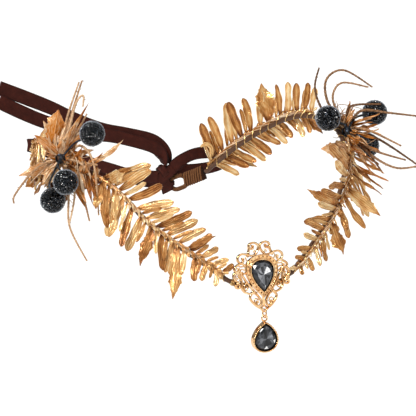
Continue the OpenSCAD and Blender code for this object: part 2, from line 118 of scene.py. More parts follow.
def noise(tree, scale, detail=2.0, roughness=0.5, vector=None):
    """Noise over the place on the piece, or over another vector."""
    vector = vector or node(tree, "ShaderNodeTexCoord").outputs["Object"]
    inputs = {"Vector": vector, "Scale": scale, "Detail": detail, "Roughness": roughness}
    return node(tree, "ShaderNodeTexNoise", inputs).outputs["Fac"]


def ramp(tree, value, *stops):
    made = node(tree, "ShaderNodeValToRGB", {"Fac": value})
    elements = made.color_ramp.elements
    for _ in stops[2:]:
        elements.new(0.5)
    for element, (place, code) in zip(elements, stops):
        element.position, element.color = place, linear(code)
    return made.outputs["Color"]


def coloured(tree, shader, value, *stops):
    """Colours a shader by a value, through stops of place and colour code."""
    fed(tree, shader.inputs["Base Color"], ramp(tree, value, *stops))


def sun(name, azimuth, elevation, strength, spread):
    data = bpy.data.lights.new(name, "SUN")
    data.energy, data.angle = strength, radians(spread)
    aimed = towards(azimuth, elevation).to_track_quat("Z", "Y")
    object_of(data, name).rotation_euler = aimed.to_euler()


sun("key_light", -70, 48, 3.2, 16)
sun("fill_light", 25, 25, 0.6, 50)
sun("back_light", 160, 50, 0.6, 40)
world = bpy.data.worlds.new("studio")
bpy.context.scene.world = world
world.use_nodes = True
tree = world.node_tree
room = noise(tree, 2.2, 1, vector=node(tree, "ShaderNodeTexCoord").outputs["Generated"])
walls = tree.nodes["Background"]
fed(tree, walls.inputs["Color"], ramp(tree, room, (0.36, "#5a5a5c"), (0.62, "#ffffff")))
walls.inputs["Strength"].default_value = 0.45
seen = node(tree, "ShaderNodeLightPath").outputs["Is Camera Ray"]
pale = node(tree, "ShaderNodeBackground", {"Color": "#ffffff"}).outputs[0]
behind = node(tree, "ShaderNodeMixShader", {0: seen, 1: walls.outputs[0], 2: pale}).outputs[0]
fed(tree, tree.nodes["World Output"].inputs["Surface"], behind)
bpy.context.scene.view_settings.view_transform = "Standard"

floor_material, tree, shader = new_finish("pale_floor", "#f6f5f3", 0.9)
coloured(tree, shader, noise(tree, 3), (0.3, "#f5f4f2"), (0.7, "#f8f8f6"))
f = FLOOR_HALF
floor_mesh = bpy.data.meshes.new("floor")
floor_mesh.from_pydata([(x, y, FLOOR_Z) for x, y in ((-f, -f), (f, -f), (f, f), (-f, f))], [], [range(4)])
floor_mesh.materials.append(floor_material)
object_of(floor_mesh, "floor")

# Lace, free ends and loops. One flat dark brown leather lace is tied in a bow behind the head. Its two
# free ends are held out to the left, one behind the other, and a loop lies on each side of the knot.
LACE_W = 7.0
LACE_T = 1.2
LACE_EDGE = 0.35
LACE_STEPS = 10

LACE_ROUTES = {
    "lace_tail_upper": [
        (32.2, 95.5, -19.6), (32.2, 95.5, -16.5), (30.5, 95.4, -12.5), (26.5, 95.2, -8), (20, 95, -4.2),
        (6, 95, 0), (-9, 95, 4), (-25, 95, 11), (-40, 95, 19), (-55, 95, 26), (-73, 95, 34),
    ],
    "lace_tail_lower": [
        (28.8, 93, -19.6), (28.4, 92.6, -17), (26.8, 92, -13.5), (24, 91.4, -10.2), (19, 91, -7.5),
        (8, 91, -3.5), (-5, 91, 0.5), (-23, 91, 4), (-45, 91, 12), (-60, 91, 19), (-75, 91, 27),
    ],
    "lace_loop_left": [
        (23.3, 90.4, -26), (8, 88.6, -23.5), (-6, 88.6, -18.5), (-24, 89, -11.5), (-45, 90, -1),
        (-54, 91.5, 0), (-55, 94, -1), (-45, 96.5, -5), (-22, 97, -15.5), (-4, 97, -21.5), (12, 97, -26),
        (23.3, 95.6, -27),
    ],
    "lace_loop_right": [
        (33.4, 90.4, -21.2), (38, 90, -17.9), (45, 90, -15.2), (52, 90, -14.5), (60, 90.5, -15.5),
        (66, 92, -19), (66.5, 94.5, -22.5), (60, 96, -25), (50, 96, -25.5), (40, 96, -25), (33.4, 95.4, -24),
    ],
}


def unit(v):
    v = np.asarray(v, float)
    return v / np.linalg.norm(v)


def across(v, d):
    """The part of v that crosses d, at length one."""
    v = np.asarray(v, float)
    return unit(v - d * np.dot(v, d))


def spline(points, u):
    """A smooth curve through points, where u runs from 0 at the first to one less than their number."""
    n = len(points) - 1
    i = min(int(u), n - 1)
    f = u - i
    a, b, c, d = (
        np.asarray(points[j], float) for j in (max(i - 1, 0), i, i + 1, min(i + 2, n))
    )
    return (
        2 * b + (c - a) * f + (2 * a - 5 * b + 4 * c - d) * f ** 2 + (3 * b - a - 3 * c + d) * f ** 3
    ) / 2


def along(points, per):
    return np.array([spline(points, i / per) for i in range((len(points) - 1) * per + 1)])


def travel(points):
    """Direction of travel at each of the points."""
    ahead = np.vstack([points[1:], points[-1:]])
    behind = np.vstack([points[:1], points[:-1]])
    return np.array([unit(a - b) for a, b in zip(ahead, behind)])


def lengths(points):
    """Distance from the first point to each."""
    return np.concatenate([[0], np.cumsum(np.linalg.norm(np.diff(points, axis=0), axis=1))])


def loft(rings, lengthwise, around, tone=0.5):
    """Walls over rings of points, with a flat end on the first and the last. The map takes its u from
    lengthwise, one number a ring, and its v from around, one number a point and one more to close."""
    rings = np.asarray(rings, float)
    m, n = rings.shape[:2]
    i, j = (a.ravel() for a in np.mgrid[0:m - 1, 0:n])
    k = (j + 1) % n
    u, v = np.asarray(lengthwise, float), np.asarray(around, float)
    walls = np.stack([i * n + j, i * n + k, (i + 1) * n + k, (i + 1) * n + j], 1)
    corners = np.stack([u[i], v[j], u[i], v[j + 1], u[i + 1], v[j + 1], u[i + 1], v[j]], 1)
    ends = [list(range(n))[::-1], list(range((m - 1) * n, m * n))]
    end_corners = [(u[0], v[q]) for q in ends[0]] + [(u[-1], v[q - (m - 1) * n]) for q in ends[1]]
    return {
        "points": rings.reshape(-1, 3),
        "faces": walls.tolist() + ends,
        "map": np.vstack([corners.reshape(-1, 2), end_corners]),
        "tone": tone,
    }


def mark(mesh, label, values, counts, domain="POINT"):
    """Gives the points or faces of a mesh a number each, from one value or a row for each of its parts."""
    rows = [np.broadcast_to(np.asarray(v, np.float32), (n,)) for v, n in zip(values, counts)]
    mesh.attributes.new(label, "FLOAT", domain).data.foreach_set("value", np.concatenate(rows))


def build(name, parts, material, sharp=60):
    """One mesh of lofted parts, in millimetres, smooth up to the sharp angle."""
    mesh = bpy.data.meshes.new(name)
    faces, at = [], 0
    for part in parts:
        faces += [[q + at for q in face] for face in part["faces"]]
        at += len(part["points"])
    mesh.from_pydata(np.vstack([p["points"] for p in parts]) * MM, [], faces)
    layer = mesh.uv_layers.new(name="UVMap")
    layer.data.foreach_set("uv", np.vstack([p["map"] for p in parts]).astype(np.float32).ravel())
    mark(mesh, "tone", [p["tone"] for p in parts], [len(p["points"]) for p in parts])
    mesh.materials.append(material)
    mesh.polygons.foreach_set("use_smooth", [True] * len(mesh.polygons))
    mesh.set_sharp_from_angle(angle=radians(sharp))
    mesh.update()
    return object_of(mesh, name)


def fix(piece, slot, *nodes, body="root"):
    """Rides a piece on its body and hides the nodes of the frame that it stands for. slot is not used."""
    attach(piece, body)
    if nodes:
        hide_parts(*nodes)


def round_half(half):
    """A whole section from its upper half, which starts with the last point of the lower half."""
    whole = half + [(-x, -y) for x, y in half]
    return whole[-1:] + whole[:-1]


def lace_strip(points, sides, widths):
    """A flat lace along points with its width along sides: rounded edges and a slightly full face."""
    h, e = LACE_T / 2, LACE_EDGE
    rings = []
    for p, d, side, width in zip(points, travel(points), sides, widths):
        s = across(side, d)
        f = np.cross(d, s)
        w = width / 2
        half = [(w, h * 0.45), (w - e * 0.4, h * 0.85), (w - e, h * 0.97), (w * 0.4, h)]
        half += [(-x, y) for x, y in half[::-1]]
        rings.append([p + s * x + f * y for x, y in round_half(half)])
    shares = [(u, 0) for u in (1, 0.94, 0.88, 0.4, -0.4, -0.88, -0.94, -1)]
    return loft(rings, lengths(points), [u for u, _ in round_half(shares)] + [1])


def own_map(tree, lengthwise=1, around=1):
    """The piece's own map, with a pattern's scale along the piece and round it."""
    plain = node(tree, "ShaderNodeUVMap", uv_map="UVMap").outputs["UV"]
    return node(tree, "ShaderNodeMapping", {"Vector": plain, "Scale": (lengthwise, around, 1)}).outputs[0]


def sum_of(tree, operation, a, b=0.0):
    return node(tree, "ShaderNodeMath", {0: a, 1: b}, operation=operation).outputs[0]


def mixed(tree, share, a, b):
    """Two colours mixed by share."""
    return node(tree, "ShaderNodeMix", {0: share, 6: a, 7: b}, data_type="RGBA").outputs[2]


def bump(tree, shader, height, distance, strength):
    inputs = {"Height": height, "Distance": distance, "Strength": strength}
    fed(tree, shader.inputs["Normal"], node(tree, "ShaderNodeBump", inputs).outputs["Normal"])


lace_finish, tree, shader = new_finish("lace_leather", "#3b1d19", 0.62, Specular_IOR_Level=0.12)
lace_y = node(tree, "ShaderNodeSeparateXYZ", {0: own_map(tree)}).outputs["Y"]
lace_edge = sum_of(tree, "POWER", sum_of(tree, "ABSOLUTE", lace_y), 12)
lace_fibre = noise(tree, 1.4, 4, 0.6, own_map(tree, 0.25, 7))
lace_hide = noise(tree, 260, 5, 0.6)
lace_tint = ramp(tree, lace_hide, (0.2, "#33120b"), (0.5, "#421911"), (0.8, "#512217"))
lace_tint = mixed(tree, sum_of(tree, "MULTIPLY", lace_fibre, 0.5), lace_tint, "#200b07")
fed(tree, shader.inputs["Base Color"], mixed(tree, lace_edge, lace_tint, "#120807"))
lace_grain = sum_of(tree, "ADD", sum_of(tree, "MULTIPLY", lace_fibre, 0.6), noise(tree, 2600, 3))
bump(tree, shader, lace_grain, 0.00012, 0.5)

for name, route in LACE_ROUTES.items():
    points = along(route, LACE_STEPS)
    steps = np.arange(len(points)) / LACE_STEPS
    tail = "tail" in name
    if tail:
        turned = np.clip(steps / 4, 0, 1)[:, None]
        sides = np.cross((0.3, -1, 0.2), travel(points)) * turned + np.array((0, 1, 0)) * (1 - turned)
    else:
        sides = np.tile((0.0, 0.0, 1.0), (len(points), 1))
    fuller = 0.2 * (steps / steps[-1]) ** 2 if tail else 0
    strip = lace_strip(points, sides, LACE_W * (1 + 0.015 * np.sin(steps * 2.3) + fuller))
    lace = build(name + "_strip", [strip], lace_finish, 50)
    fix(lace, "lace_leather", name)

# Band. A steel wire of about one and a half millimetres, wound over its whole length with brown crepe
# tape whose turns overlap, and bent into the ring. It is the one thing that carries all the rest.
STATIONS = [
    (0, 0, -97.4, -46), (15, 15, -97.1, -45), (37, 34.5, -86, -30.5), (58.5, 54.5, -71, -13.5),
    (74.5, 67.5, -52, 4.5), (84, 81, -25, 17), (85, 81, 6, 20), (80, 73, 38, 13), (66, 60, 66, -5),
    (50, 48, 82, -24),
]
BAND_D = 2.8
TAPE_TURN = 5.2
TAPE_LAP = 0.18


def arm(t, k):
    """A point of one arm of the band: t runs from 0 in front to 1 at the winding, and k is its side."""
    x_right, x_left, y, z = spline(STATIONS, t * (len(STATIONS) - 1))
    return np.array((x_right if k > 0 else -x_left, y, z))


def heading(t, k):
    return unit(arm(min(t + 0.01, 1), k) - arm(max(t - 0.01, 0), k))


def outward(t, k):
    p = arm(t, k)
    return across((p[0], p[1], 0), heading(t, k))


def ring_round(centre, direction, radii, first=(0, 0, 1)):
    """Points round a centre, counter-clockwise about direction, one for each radius."""
    u = across(first if abs(np.dot(first, direction)) < 0.9 else (1, 0.2, 0), direction)
    v = np.cross(direction, u)
    angles = np.arange(len(radii)) * 2 * pi / len(radii)
    return centre + np.outer(radii * np.cos(angles), u) + np.outer(radii * np.sin(angles), v)


def rod(points, radius_of, sides, tone=0.5):
    """A rod along points. radius_of gives the radii of a ring from its place along and the angles."""
    places = lengths(points)
    angles = np.arange(sides) * 2 * pi / sides
    rings = [ring_round(p, d, radius_of(s, angles)) for p, d, s in zip(points, travel(points), places)]
    return loft(rings, places, np.arange(sides + 1) / sides, tone)


def tape_radii(s, angles):
    turn = (s / TAPE_TURN + angles / (2 * pi)) % 1
    return BAND_D / 2 - TAPE_LAP * turn + 0.04 * np.sin(angles * 5 + s * 1.7) * np.sin(s * 0.9)


band_finish, tree, shader = new_finish("band_tape", "#4b2b14", 0.55, Specular_IOR_Level=0.45)
crepe = noise(tree, 1.5, 4, 0.65, own_map(tree, 2.2, 3))
band_tint = ramp(tree, crepe, (0.2, "#2c170a"), (0.5, "#50301a"), (0.8, "#80542c"))
band_patch = sum_of(tree, "MULTIPLY", noise(tree, 220, 3), 0.5)
fed(tree, shader.inputs["Base Color"], mixed(tree, band_patch, band_tint, "#38200f"))
bump(tree, shader, crepe, 0.0002, 0.6)

band_points = np.array(
    [arm(t, -1) for t in np.linspace(1, 0, 340)] + [arm(t, 1) for t in np.linspace(0, 1, 340)[1:]]
)
band = build("band_taped", [rod(band_points, tape_radii, 20)], band_finish, 80)
fix(band, "band_tape", "band")

# Binding wire. Thin pale gold wire goes round the band in open turns from end to end. Where a frond
# lies on the band each turn takes in its stem too, and that is all that holds the frond.
BIND_R = 0.24
BIND_TURN = 7.2
STEM_OFF = BAND_D / 2 + 0.3 + 1.2

# Columns: side, tip and root on the arm, leaves in a row, longest leaf, share of it at the tip, share
# of the lower row, turn of the stem over the band, outward lift of the upper and of the lower row,
# twist, lean of the leaves at the tip and at the root, width of a leaf, seed.
FRONDS = {
    "front_frond_left": (-1, 0.155, 0.49, 12, 26, 0.32, 1, 35, -5, 20, 0, 66, 58, 5.4, 0),
    "front_frond_right": (1, 0.15, 0.5, 12, 26, 0.2, 1, 8, -15, 28, 25, 46, 66, 4.8, 40),
    "back_frond_left": (-1, 0.7, 0.98, 12, 22.1, 0.65, 0.8, 18, -42, -2, 0, 66, 60, 4.9, 80),
    "back_frond_right": (1, 0.7, 0.98, 12, 22.88, 0.65, 0.8, 50, 5, 12, -25, 74, 68, 4.9, 120),
}


def new_group(name, inputs):
    """A tree of geometry nodes with its named inputs, and the sockets that give them."""
    made = bpy.data.node_groups.new(name, "GeometryNodeTree")
    for label, kind in inputs.items():
        made.interface.new_socket(label, in_out="INPUT", socket_type="NodeSocket" + kind)
    made.interface.new_socket("Grown", in_out="OUTPUT", socket_type="NodeSocketGeometry")
    return made, node(made, "NodeGroupInput").outputs


def sweep_tree():
    """Sweeps round wire along the edges of a mesh, as thick as their swell says."""
    made, given = new_group("wire_along_edges", {
        "Edges": "Geometry", "Wire radius": "Float", "Sides": "Int", "Finish": "Material",
    })
    swell = node(made, "GeometryNodeInputNamedAttribute", {"Name": "swell"}).outputs[0]
    curve = node(made, "GeometryNodeMeshToCurve", {"Mesh": given["Edges"]}).outputs[0]
    size = {"Resolution": given["Sides"], "Radius": given["Wire radius"]}
    section = node(made, "GeometryNodeCurvePrimitiveCircle", size).outputs[0]
    wire = node(
        made, "GeometryNodeCurveToMesh",
        {"Curve": curve, "Profile Curve": section, "Scale": swell, "Fill Caps": True},
    ).outputs[0]
    whole = node(made, "GeometryNodeRealizeInstances", {"Geometry": wire}).outputs[0]
    finish = {"Geometry": whole, "Material": given["Finish"]}
    node(made, "NodeGroupOutput", {"Grown": node(made, "GeometryNodeSetMaterial", finish).outputs[0]})
    return made


sweep = sweep_tree()


def grown(name, carrier, group, values):
    """The plain mesh that a tree of nodes grows on a carrier, which goes."""
    modifier = carrier.modifiers.new("grow", "NODES")
    modifier.node_group = group
    for item in group.interface.items_tree:
        if item.in_out == "INPUT" and item.name in values:
            modifier[item.identifier] = values[item.name]
    mesh = bpy.data.meshes.new_from_object(carrier.evaluated_get(bpy.context.evaluated_depsgraph_get()))
    mesh.name = name
    bpy.data.objects.remove(carrier)
    mesh.polygons.foreach_set("use_smooth", [True] * len(mesh.polygons))
    return object_of(mesh, name)


def swept(name, paths, radius, sides, finish, swells=None, tones=None):
    """Round wires along paths, in millimetres."""
    mesh = bpy.data.meshes.new(name + "_paths")
    edges, at = [], 0
    for path in paths:
        edges += [(at + i, at + i + 1) for i in range(len(path) - 1)]
        at += len(path)
    mesh.from_pydata(np.vstack(paths) * MM, edges, [])
    counts = [len(path) for path in paths]
    mark(mesh, "swell", swells or [1.0] * len(paths), counts)
    mark(mesh, "tone", tones or [0.5] * len(paths), counts)
    values = {"Wire radius": radius * MM, "Sides": sides, "Finish": finish}
    made = grown(name, object_of(mesh, name + "_paths"), sweep, values)
    made.data.set_sharp_from_angle(angle=radians(60))
    return made


def upward(t, k):
    return k * np.cross(outward(t, k), heading(t, k))


def stem_at(t, k, seat):
    """Middle of a frond's stem, which lies seat degrees up from the outer side of the band."""
    a = radians(seat)
    return arm(t, k) + STEM_OFF * (outward(t, k) * cos(a) + upward(t, k) * sin(a))


def binding(k):
    """The path of the wire round one arm: round the band alone, or round the band and a stem."""
    fine = np.linspace(0.03, 0.985, 900)
    places = lengths(np.array([arm(t, k) for t in fine]))
    points = []
    for t, s in zip(fine, places):
        a = 2 * pi * (s + 1.1 * sin(s / 9)) / BIND_TURN
        o, u = outward(t, k), upward(t, k)
        n = o * cos(a) + u * sin(a)
        choices = [(arm(t, k), BAND_D / 2)]
        for row in FRONDS.values():
            if row[0] == k and row[1] + 0.01 < t < row[2] - 0.01:
                choices.append((stem_at(t, k, row[7]), 0.95))
        middle, r = max(choices, key=lambda c: np.dot(c[0], n) + c[1])
        points.append(middle + n * (r + BIND_R * 0.8))
    return np.array(points)


gold_wire, tree, shader = new_finish("binding_wire", "#e0b878", 0.3, Metallic=0.9)
coloured(tree, shader, noise(tree, 500), (0.3, "#a87840"), (0.6, "#e9c68a"))
bindings = swept("binding_wires", [binding(-1), binding(1)], BIND_R, 6, gold_wire)
fix(bindings, "leaf_gold")

# Eyelets. Behind each ear the band ends in a loop of stiffer wire for the lace. Brown twine is wound
# over the loop, and in close thick turns over the place where its two legs lie along the band.
SIDES = {"left": -1, "right": 1}
EYELET_AIM = np.array((12, 9, -6.5))
END_GAP = 0.95
WINDING = 12.0
LOOP_OPEN = 2.4
LOOP_WIRE = 2.4
LEG = 3.0
LOOP_R = LOOP_OPEN + LOOP_WIRE / 2
TWINE_R = 0.6
TWINE_PITCH = 1.42
TWINE_SLANT = 0.28
THREAD_R = 0.3
LEGS_APART = 2.2
LEGS_R = 1.55

twine_finish, tree, shader = new_finish("twine", "#6b4a2a", 0.85, Specular_IOR_Level=0.2)
twine_grain = noise(tree, 2600, 3, 0.6)
coloured(tree, shader, twine_grain, (0.25, "#3a1f0e"), (0.5, "#6c4427"), (0.8, "#976a42"))
bump(tree, shader, twine_grain, 0.0002, 0.7)
# The eyelet solid under the twine turns is painted near-black, as painted shade in the gaps between the
# turns.
gap_shade_twine, tree, shader = new_finish("twine_gap_painted_shade", "#241309", 0.9, Specular_IOR_Level=0.1)
coloured(tree, shader, noise(tree, 2600, 3), (0.3, "#1a0e07"), (0.7, "#361e10"))


def coil_round(path, across_to, radius, pitch, per_turn):
    """A thread wound round a path, from its start to its end."""
    places = lengths(path)
    at = np.linspace(0, places[-1], int(places[-1] / pitch * per_turn))
    middle = np.stack([np.interp(at, places, path[:, i]) for i in range(3)], 1)
    points = []
    for i, (p, d) in enumerate(zip(middle, travel(middle))):
        u = across(across_to, d)
        a = 2 * pi * i / per_turn
        points.append(p + radius * (u * cos(a) + np.cross(d, u) * sin(a)))
    return np.array(points)


def refinish(solid, material):
    """Gives a solid of the frame that stays in view its finish."""
    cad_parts[solid].data.materials.clear()
    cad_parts[solid].data.materials.append(material)


hooks = {}
for side, k in SIDES.items():
    d = unit(EYELET_AIM * (-k, 1, 1))
    axis = across(outward(1, k), d)
    wide = np.cross(d, axis)
    start = arm(1, k) + d * END_GAP
    turns = []
    for i in range(int((WINDING - 0.6) / TWINE_PITCH) * 24 + 1):
        a = 2 * pi * i / 24
        wave = 0.12 * sin(i / 24 * 5.1)
        flat = wide * LEGS_APART * np.clip(cos(a) * 3, -1, 1)
        round_part = (wide * cos(a) + axis * sin(a)) * (LEGS_R + wave * 0.5)
        slant = TWINE_SLANT * np.dot(flat + round_part, wide)
        turns.append(start + d * (0.9 + TWINE_PITCH * i / 24 + wave + slant) + flat + round_part)
    middle = start + d * (WINDING + LOOP_OPEN + 0.4)
    hooks[k] = axis, middle + d * LEG
    a = np.linspace(0, pi, 30)
    half_turn = LOOP_R * (np.outer(np.cos(a), wide) - np.outer(np.sin(a), d))
    loop = np.vstack([middle + half_turn, hooks[k][1] - half_turn, [middle + wide * LOOP_R]])
    threads = coil_round(loop, axis, LOOP_WIRE / 2 - 0.12, 0.62, 10)
    eyelet = [np.array(turns), threads]
    fix(swept(f"eyelet_{side}_twine", eyelet, 1.0, 7, twine_finish, [TWINE_R, THREAD_R]), "twine")
    # The solid below the turns takes the near-black painted shade.
    refinish(f"eyelet_{side}", gap_shade_twine)

# Lace, ties and knot. From the knot a run of the lace goes out to each eyelet, through it, round its
# wire and back, and the runs are pulled together in one flat half-bow knot.
KNOT = np.array((28.0, 93.0, -24.0))
FOLDED_W = 2.6
TIES = {
    "lace_tie_left": (
        -1, (23.3, 93, -28.5), (18, 93, -28.4), (4, 93, -24.5), (-10, 93, -23), (-24, 94, -27),
    ),
    "lace_tie_right": (1, (28.7, 93, -31.8)),
}

for name, (k, foot, *bends) in TIES.items():
    o, e = hooks[k]
    foot, *bends = (np.array(b, float) for b in (foot, *bends))
    r = across((bends[-1] if bends else foot) - e, o)
    w = e + r * LOOP_R
    far = LOOP_WIRE / 2 + LACE_T * 0.85
    half = np.array((0, 0.9, 0))
    points = along(
        [foot - half] + [b - half * 1.3 for b in bends] + [w - far * o + 1.6 * r]
        + [w + far * (o * sin(a) - r * cos(a)) for a in np.radians((-90, -45, 0, 45, 90))]
        + [w + far * o + 1.6 * r] + [b + half * 1.3 for b in bends[::-1]] + [foot + half], 8
    )
    # How far the lace has widened and turned upright again, from where it rounds the wire.
    opened = np.clip((np.abs(np.arange(len(points)) - (len(points) - 1) / 2) / 4 - 5) / 3, 0, 1)
    q = np.cross(o, r) if o[0] * r[1] - o[1] * r[0] > 0 else np.cross(r, o)
    sides = q * (1 - opened[:, None]) + np.array((0, 0, 1)) * opened[:, None]
    strip = lace_strip(points, sides, FOLDED_W + (LACE_W - FOLDED_W) * opened)
    fix(build(name + "_strip", [strip], lace_finish, 50), "lace_leather", name)

wraps = []
for tilt, high, deep, start in ((-18, 3.2, 2.3, 0.0), (32, 3.35, 2.85, 1.0)):
    a = radians(tilt)
    b = np.linspace(start, start + 2 * pi - 0.12, 40)
    rise = np.array((-sin(a), 0, cos(a)))
    turn = KNOT + np.outer(high * np.cos(b), rise) + np.outer(deep * np.sin(b), (0, 1, 0))
    sides = np.tile((cos(a), 0, sin(a)), (len(turn), 1))
    wraps.append(lace_strip(turn, sides, np.full(len(turn), 5.4 - start)))
for strap in (
    [(18, 91.4, -30.5), (24, 91, -28.5), (30, 90.8, -24.6), (36, 90.9, -20.4), (41, 91.2, -17.6)],
    [(25.5, 92, -24), (27.5, 91.9, -28), (30.2, 92.2, -33), (31.4, 93, -36)],
):
    turn = along(strap, 8)
    wraps.append(lace_strip(turn, np.cross((0, 1, 0), travel(turn)), np.full(len(turn), LACE_W)))


def spindle(s, middle, half):
    """The rise of a rounded rod at the place s along it, from 0 at its ends to 1."""
    return sqrt(max(1 - ((s - middle) / half) ** 2, 0))


core = KNOT + np.outer(np.linspace(-3.4, 3.4, 12), (1, 0, 0.3))
wraps.append(rod(core, lambda s, angles: 0.4 + 1.9 * spindle(s, 3.55, 3.7) + 0 * angles, 16))
fix(build("lace_knot_wraps", wraps, lace_finish, 50), "lace_leather", "lace_knot")

# Fronds. Each is a straw stem with two rows of oblong leaves that point forwards, pressed and gilded
# so that their veins stand up, and a few wide toothed leaves. It is bound to the band with wire.
LEAF_T = 0.9
CURLED_R = 1.5
CURLED_PATH = [(0, 0, 0), (0, -3, 6), (-1, -4, 10.5), (-4, -4, 12.5), (-7, -3, 11)]
PLAIN_LEAF = [
    (0, 0.26), (0.06, 0.42), (0.15, 0.66), (0.3, 0.88), (0.5, 1), (0.75, 1), (0.87, 0.9), (0.94, 0.7),
    (0.98, 0.46), (1, 0.22),
]
TOOTHED_ROOM = 0.016
TOOTHED_LEAF = [
    (0, 0.12), (0.14, 0.4), (0.3, 0.95), (0.36, 0.78), (0.5, 1.08), (0.57, 0.8), (0.7, 0.88),
    (0.77, 0.55), (0.86, 0.42), (0.88, 0.3), (1, 0.05),
]
# Columns: place on the arm, row, length, width, lean from the stem, lift outwards, twist.
TOOTHED = {
    "front_frond_left": [
        (0.27, -1, 32, 9, 62, 25, 0), (0.33, -1, 26, 7, 66, 40, 0), (0.25, 1, 21, 4, 62, 20, 0),
        (0.475, -1, 17, 8, 72, 20, 0), (0.465, 1, 22, 8, 60, 30, 0), (0.44, -1, 19, 5, 50, 45, 20),
    ],
    "front_frond_right": [
        (0.295, -1, 20, 10, 62, 30, 20), (0.385, -1, 25, 7.5, 70, 50, 40), (0.335, 1, 23, 6, 75, -38, 40),
        (0.48, -1, 22, 3.4, 66, 62, 20), (0.455, -1, 24, 3.6, 62, 58, 20), (0.43, -1, 23, 3.2, 58, 66, 20),
    ],
    "back_frond_left": [(0.93, -1, 20, 8, 66, 2, 0), (0.8, -1, 18, 7, 62, 2, 0)],
    "back_frond_right": [
        (0.825, 1, 23, 12, 80, 14, -60), (0.94, -1, 22, 8, 66, 25, -50), (0.84, -1, 17, 7, 62, 30, -50),
        (0.74, -1, 18, 6, 60, 30, -50),
    ],
}


def wander(i, k):
    """A wander between -1 and 1 that gives each leaf its own angle and length."""
    return sin(radians(i * 137 + k * 59)) * cos(radians(i * 71 - k * 23))


FACE_X = np.linspace(1, -1, 17)
BACK_X = np.array((-0.75, -0.38, 0, 0.38, 0.75))


def leaf(p, d, n, length, width, outline, curl, key, rings=17, tone=0.0, folds=1.0):
    """A pressed leaf from p along d with its face towards n. It has a raised midrib, grooves along it,
    drooping wavy edges and a tip that curls over. The key gives it its own waves and tone."""
    s = unit(np.cross(n, d))
    up = np.cross(d, s)
    toothed = outline is TOOTHED_LEAF
    places, shares = np.array(outline).T
    f = np.linspace(0, 1, rings * 2 if toothed else rings)
    uneven = 0.06 * np.sin(f * 75 + key) if toothed else 0.05 * np.sin(f * 17 + key * 2.1) * (f > 0.1)
    half = width / 2 * np.interp(f, places, shares) * (1 + uneven)
    x = np.concatenate([FACE_X, BACK_X])
    fold = np.abs(x)
    veins = 0.5 - 0.5 * np.cos(2 * pi * fold * (3 if toothed else 2))
    face = np.arange(len(x)) < len(FACE_X)
    thick = LEAF_T * (0.32 + 0.12 * (1 - fold))
    sway = 0.05 * length * (np.sin(f * 2.6 + key) - sin(key)) * f
    tilt = 0.35 * sin(key * 3.7) * f * (0.6 if toothed else 1)
    rows = []
    for i, g in enumerate(f):
        w = half[i]
        droop = -0.3 * w * fold ** 1.3
        ripple = 0.16 * width * np.sin(g * 11 + key * 5 + np.sign(x) * 1.3) * sin(pi * g)
        groove = -folds * (0.06 if toothed else 0.15) * w * veins * (1 - 0.4 * fold)
        rib = (0.14 + 0.1 * (1 - g)) * np.exp(-((x / 0.13) ** 2))
        high = droop + ripple * fold ** 2 + groove + np.where(face, rib + thick / 2, -thick / 2)
        tip = -0.16 * width * (max(0, g - 0.82) / 0.18) ** 2
        c = p + d * length * g + up * (curl * length * g * g + tip) + s * sway[i]
        cos_t, sin_t = cos(tilt[i]), sin(tilt[i])
        aside, high = w * x * cos_t - high * sin_t, high * cos_t + w * x * sin_t
        rows.append(c + np.outer(aside, s) + np.outer(high, up))
    # Tone along and across the leaf: a little darker towards the tip; painted shade at the root, on the back
    # and in the grooves; a painted highlight along the rims.
    lengthwise = -0.12 * np.clip((f - 0.84) / 0.16, 0, 1) - 0.4 * np.clip(1 - f / 0.25, 0, 1)
    around = -0.26 * veins - 0.06 * ~face + 0.15 * (fold > 0.95)
    tones = 0.64 + 0.16 * sin(key * 7.3) + tone + lengthwise[:, None] + around
    return loft(rows, f * length + key * 31.7, [*x, x[0]], np.clip(tones, 0, 1).ravel())


def around_nil(tree, value, share):
    """A noise moved to lie around nil, times share."""
    return sum_of(tree, "MULTIPLY", sum_of(tree, "SUBTRACT", value, 0.5), share)


def leaf_finish_of(name, metallic, wear_share, *stops):
    """A finish with its colour over the leaf's tone, which holds painted shade and highlight as well as the
    leaf's own tone, and over its streaks and its blotches.
    """
    finish, tree, shader = new_finish(name, stops[2][1], 0.42, Metallic=metallic)
    streak = noise(tree, 2.2, 5, 0.7, own_map(tree, 0.12, 3.4))
    tone = node(tree, "ShaderNodeAttribute", attribute_name="tone").outputs["Fac"]
    for wear, share in ((streak, wear_share), (noise(tree, 160, 3), wear_share * 0.6)):
        tone = sum_of(tree, "ADD", tone, around_nil(tree, wear, share))
    coloured(tree, shader, tone, *stops)
    fed(tree, shader.inputs["Roughness"], ramp(tree, streak, (0.3, "#7c7c7c"), (0.7, "#484848")))
    bump(tree, shader, streak, 0.0003, 0.8)
    return finish


leaf_finish = leaf_finish_of(
    "gilt_leaf", 0.45, 0.85, (0.05, "#4e270e"), (0.25, "#955722"), (0.45, "#cf9350"), (0.65, "#efc98c"),
    (0.88, "#fff0cb"),
)
straw_finish, tree, shader = new_finish("straw", "#b9935c", 0.7, Specular_IOR_Level=0.3)
straw_tone = node(tree, "ShaderNodeAttribute", attribute_name="tone").outputs["Fac"]
straw_grain = noise(tree, 900, 4, 0.7)
straw_mix = sum_of(tree, "ADD", straw_tone, around_nil(tree, straw_grain, 1.2))
coloured(
    tree, shader, straw_mix, (0.1, "#5b3a20"), (0.4, "#a87f59"), (0.7, "#d4b08a"), (0.95, "#efdabd"),
)
bump(tree, shader, straw_grain, 0.0003, 0.8)


def frond_leaf(t, row, length, width, lean, lift, twist, *more, **looks):
    """A leaf of the frond at hand, at t on the arm and in the upper or the lower row."""
    h, o = heading(t, k), outward(t, k)
    a, b, c = map(radians, (lean, lift, twist))
    d = unit(sin(a) * (row * upward(t, k) * cos(b) + o * sin(b)) - h * cos(a))
    parts.append(leaf(
        stem_at(t, k, seat), d, o * cos(c) - h * sin(c), length, width, *more, **looks
    ))


def stem_radii(s, angles):
    return 0.65 + 0.004 * s + 0.1 * np.sin(angles * 3 + s * 2.2)


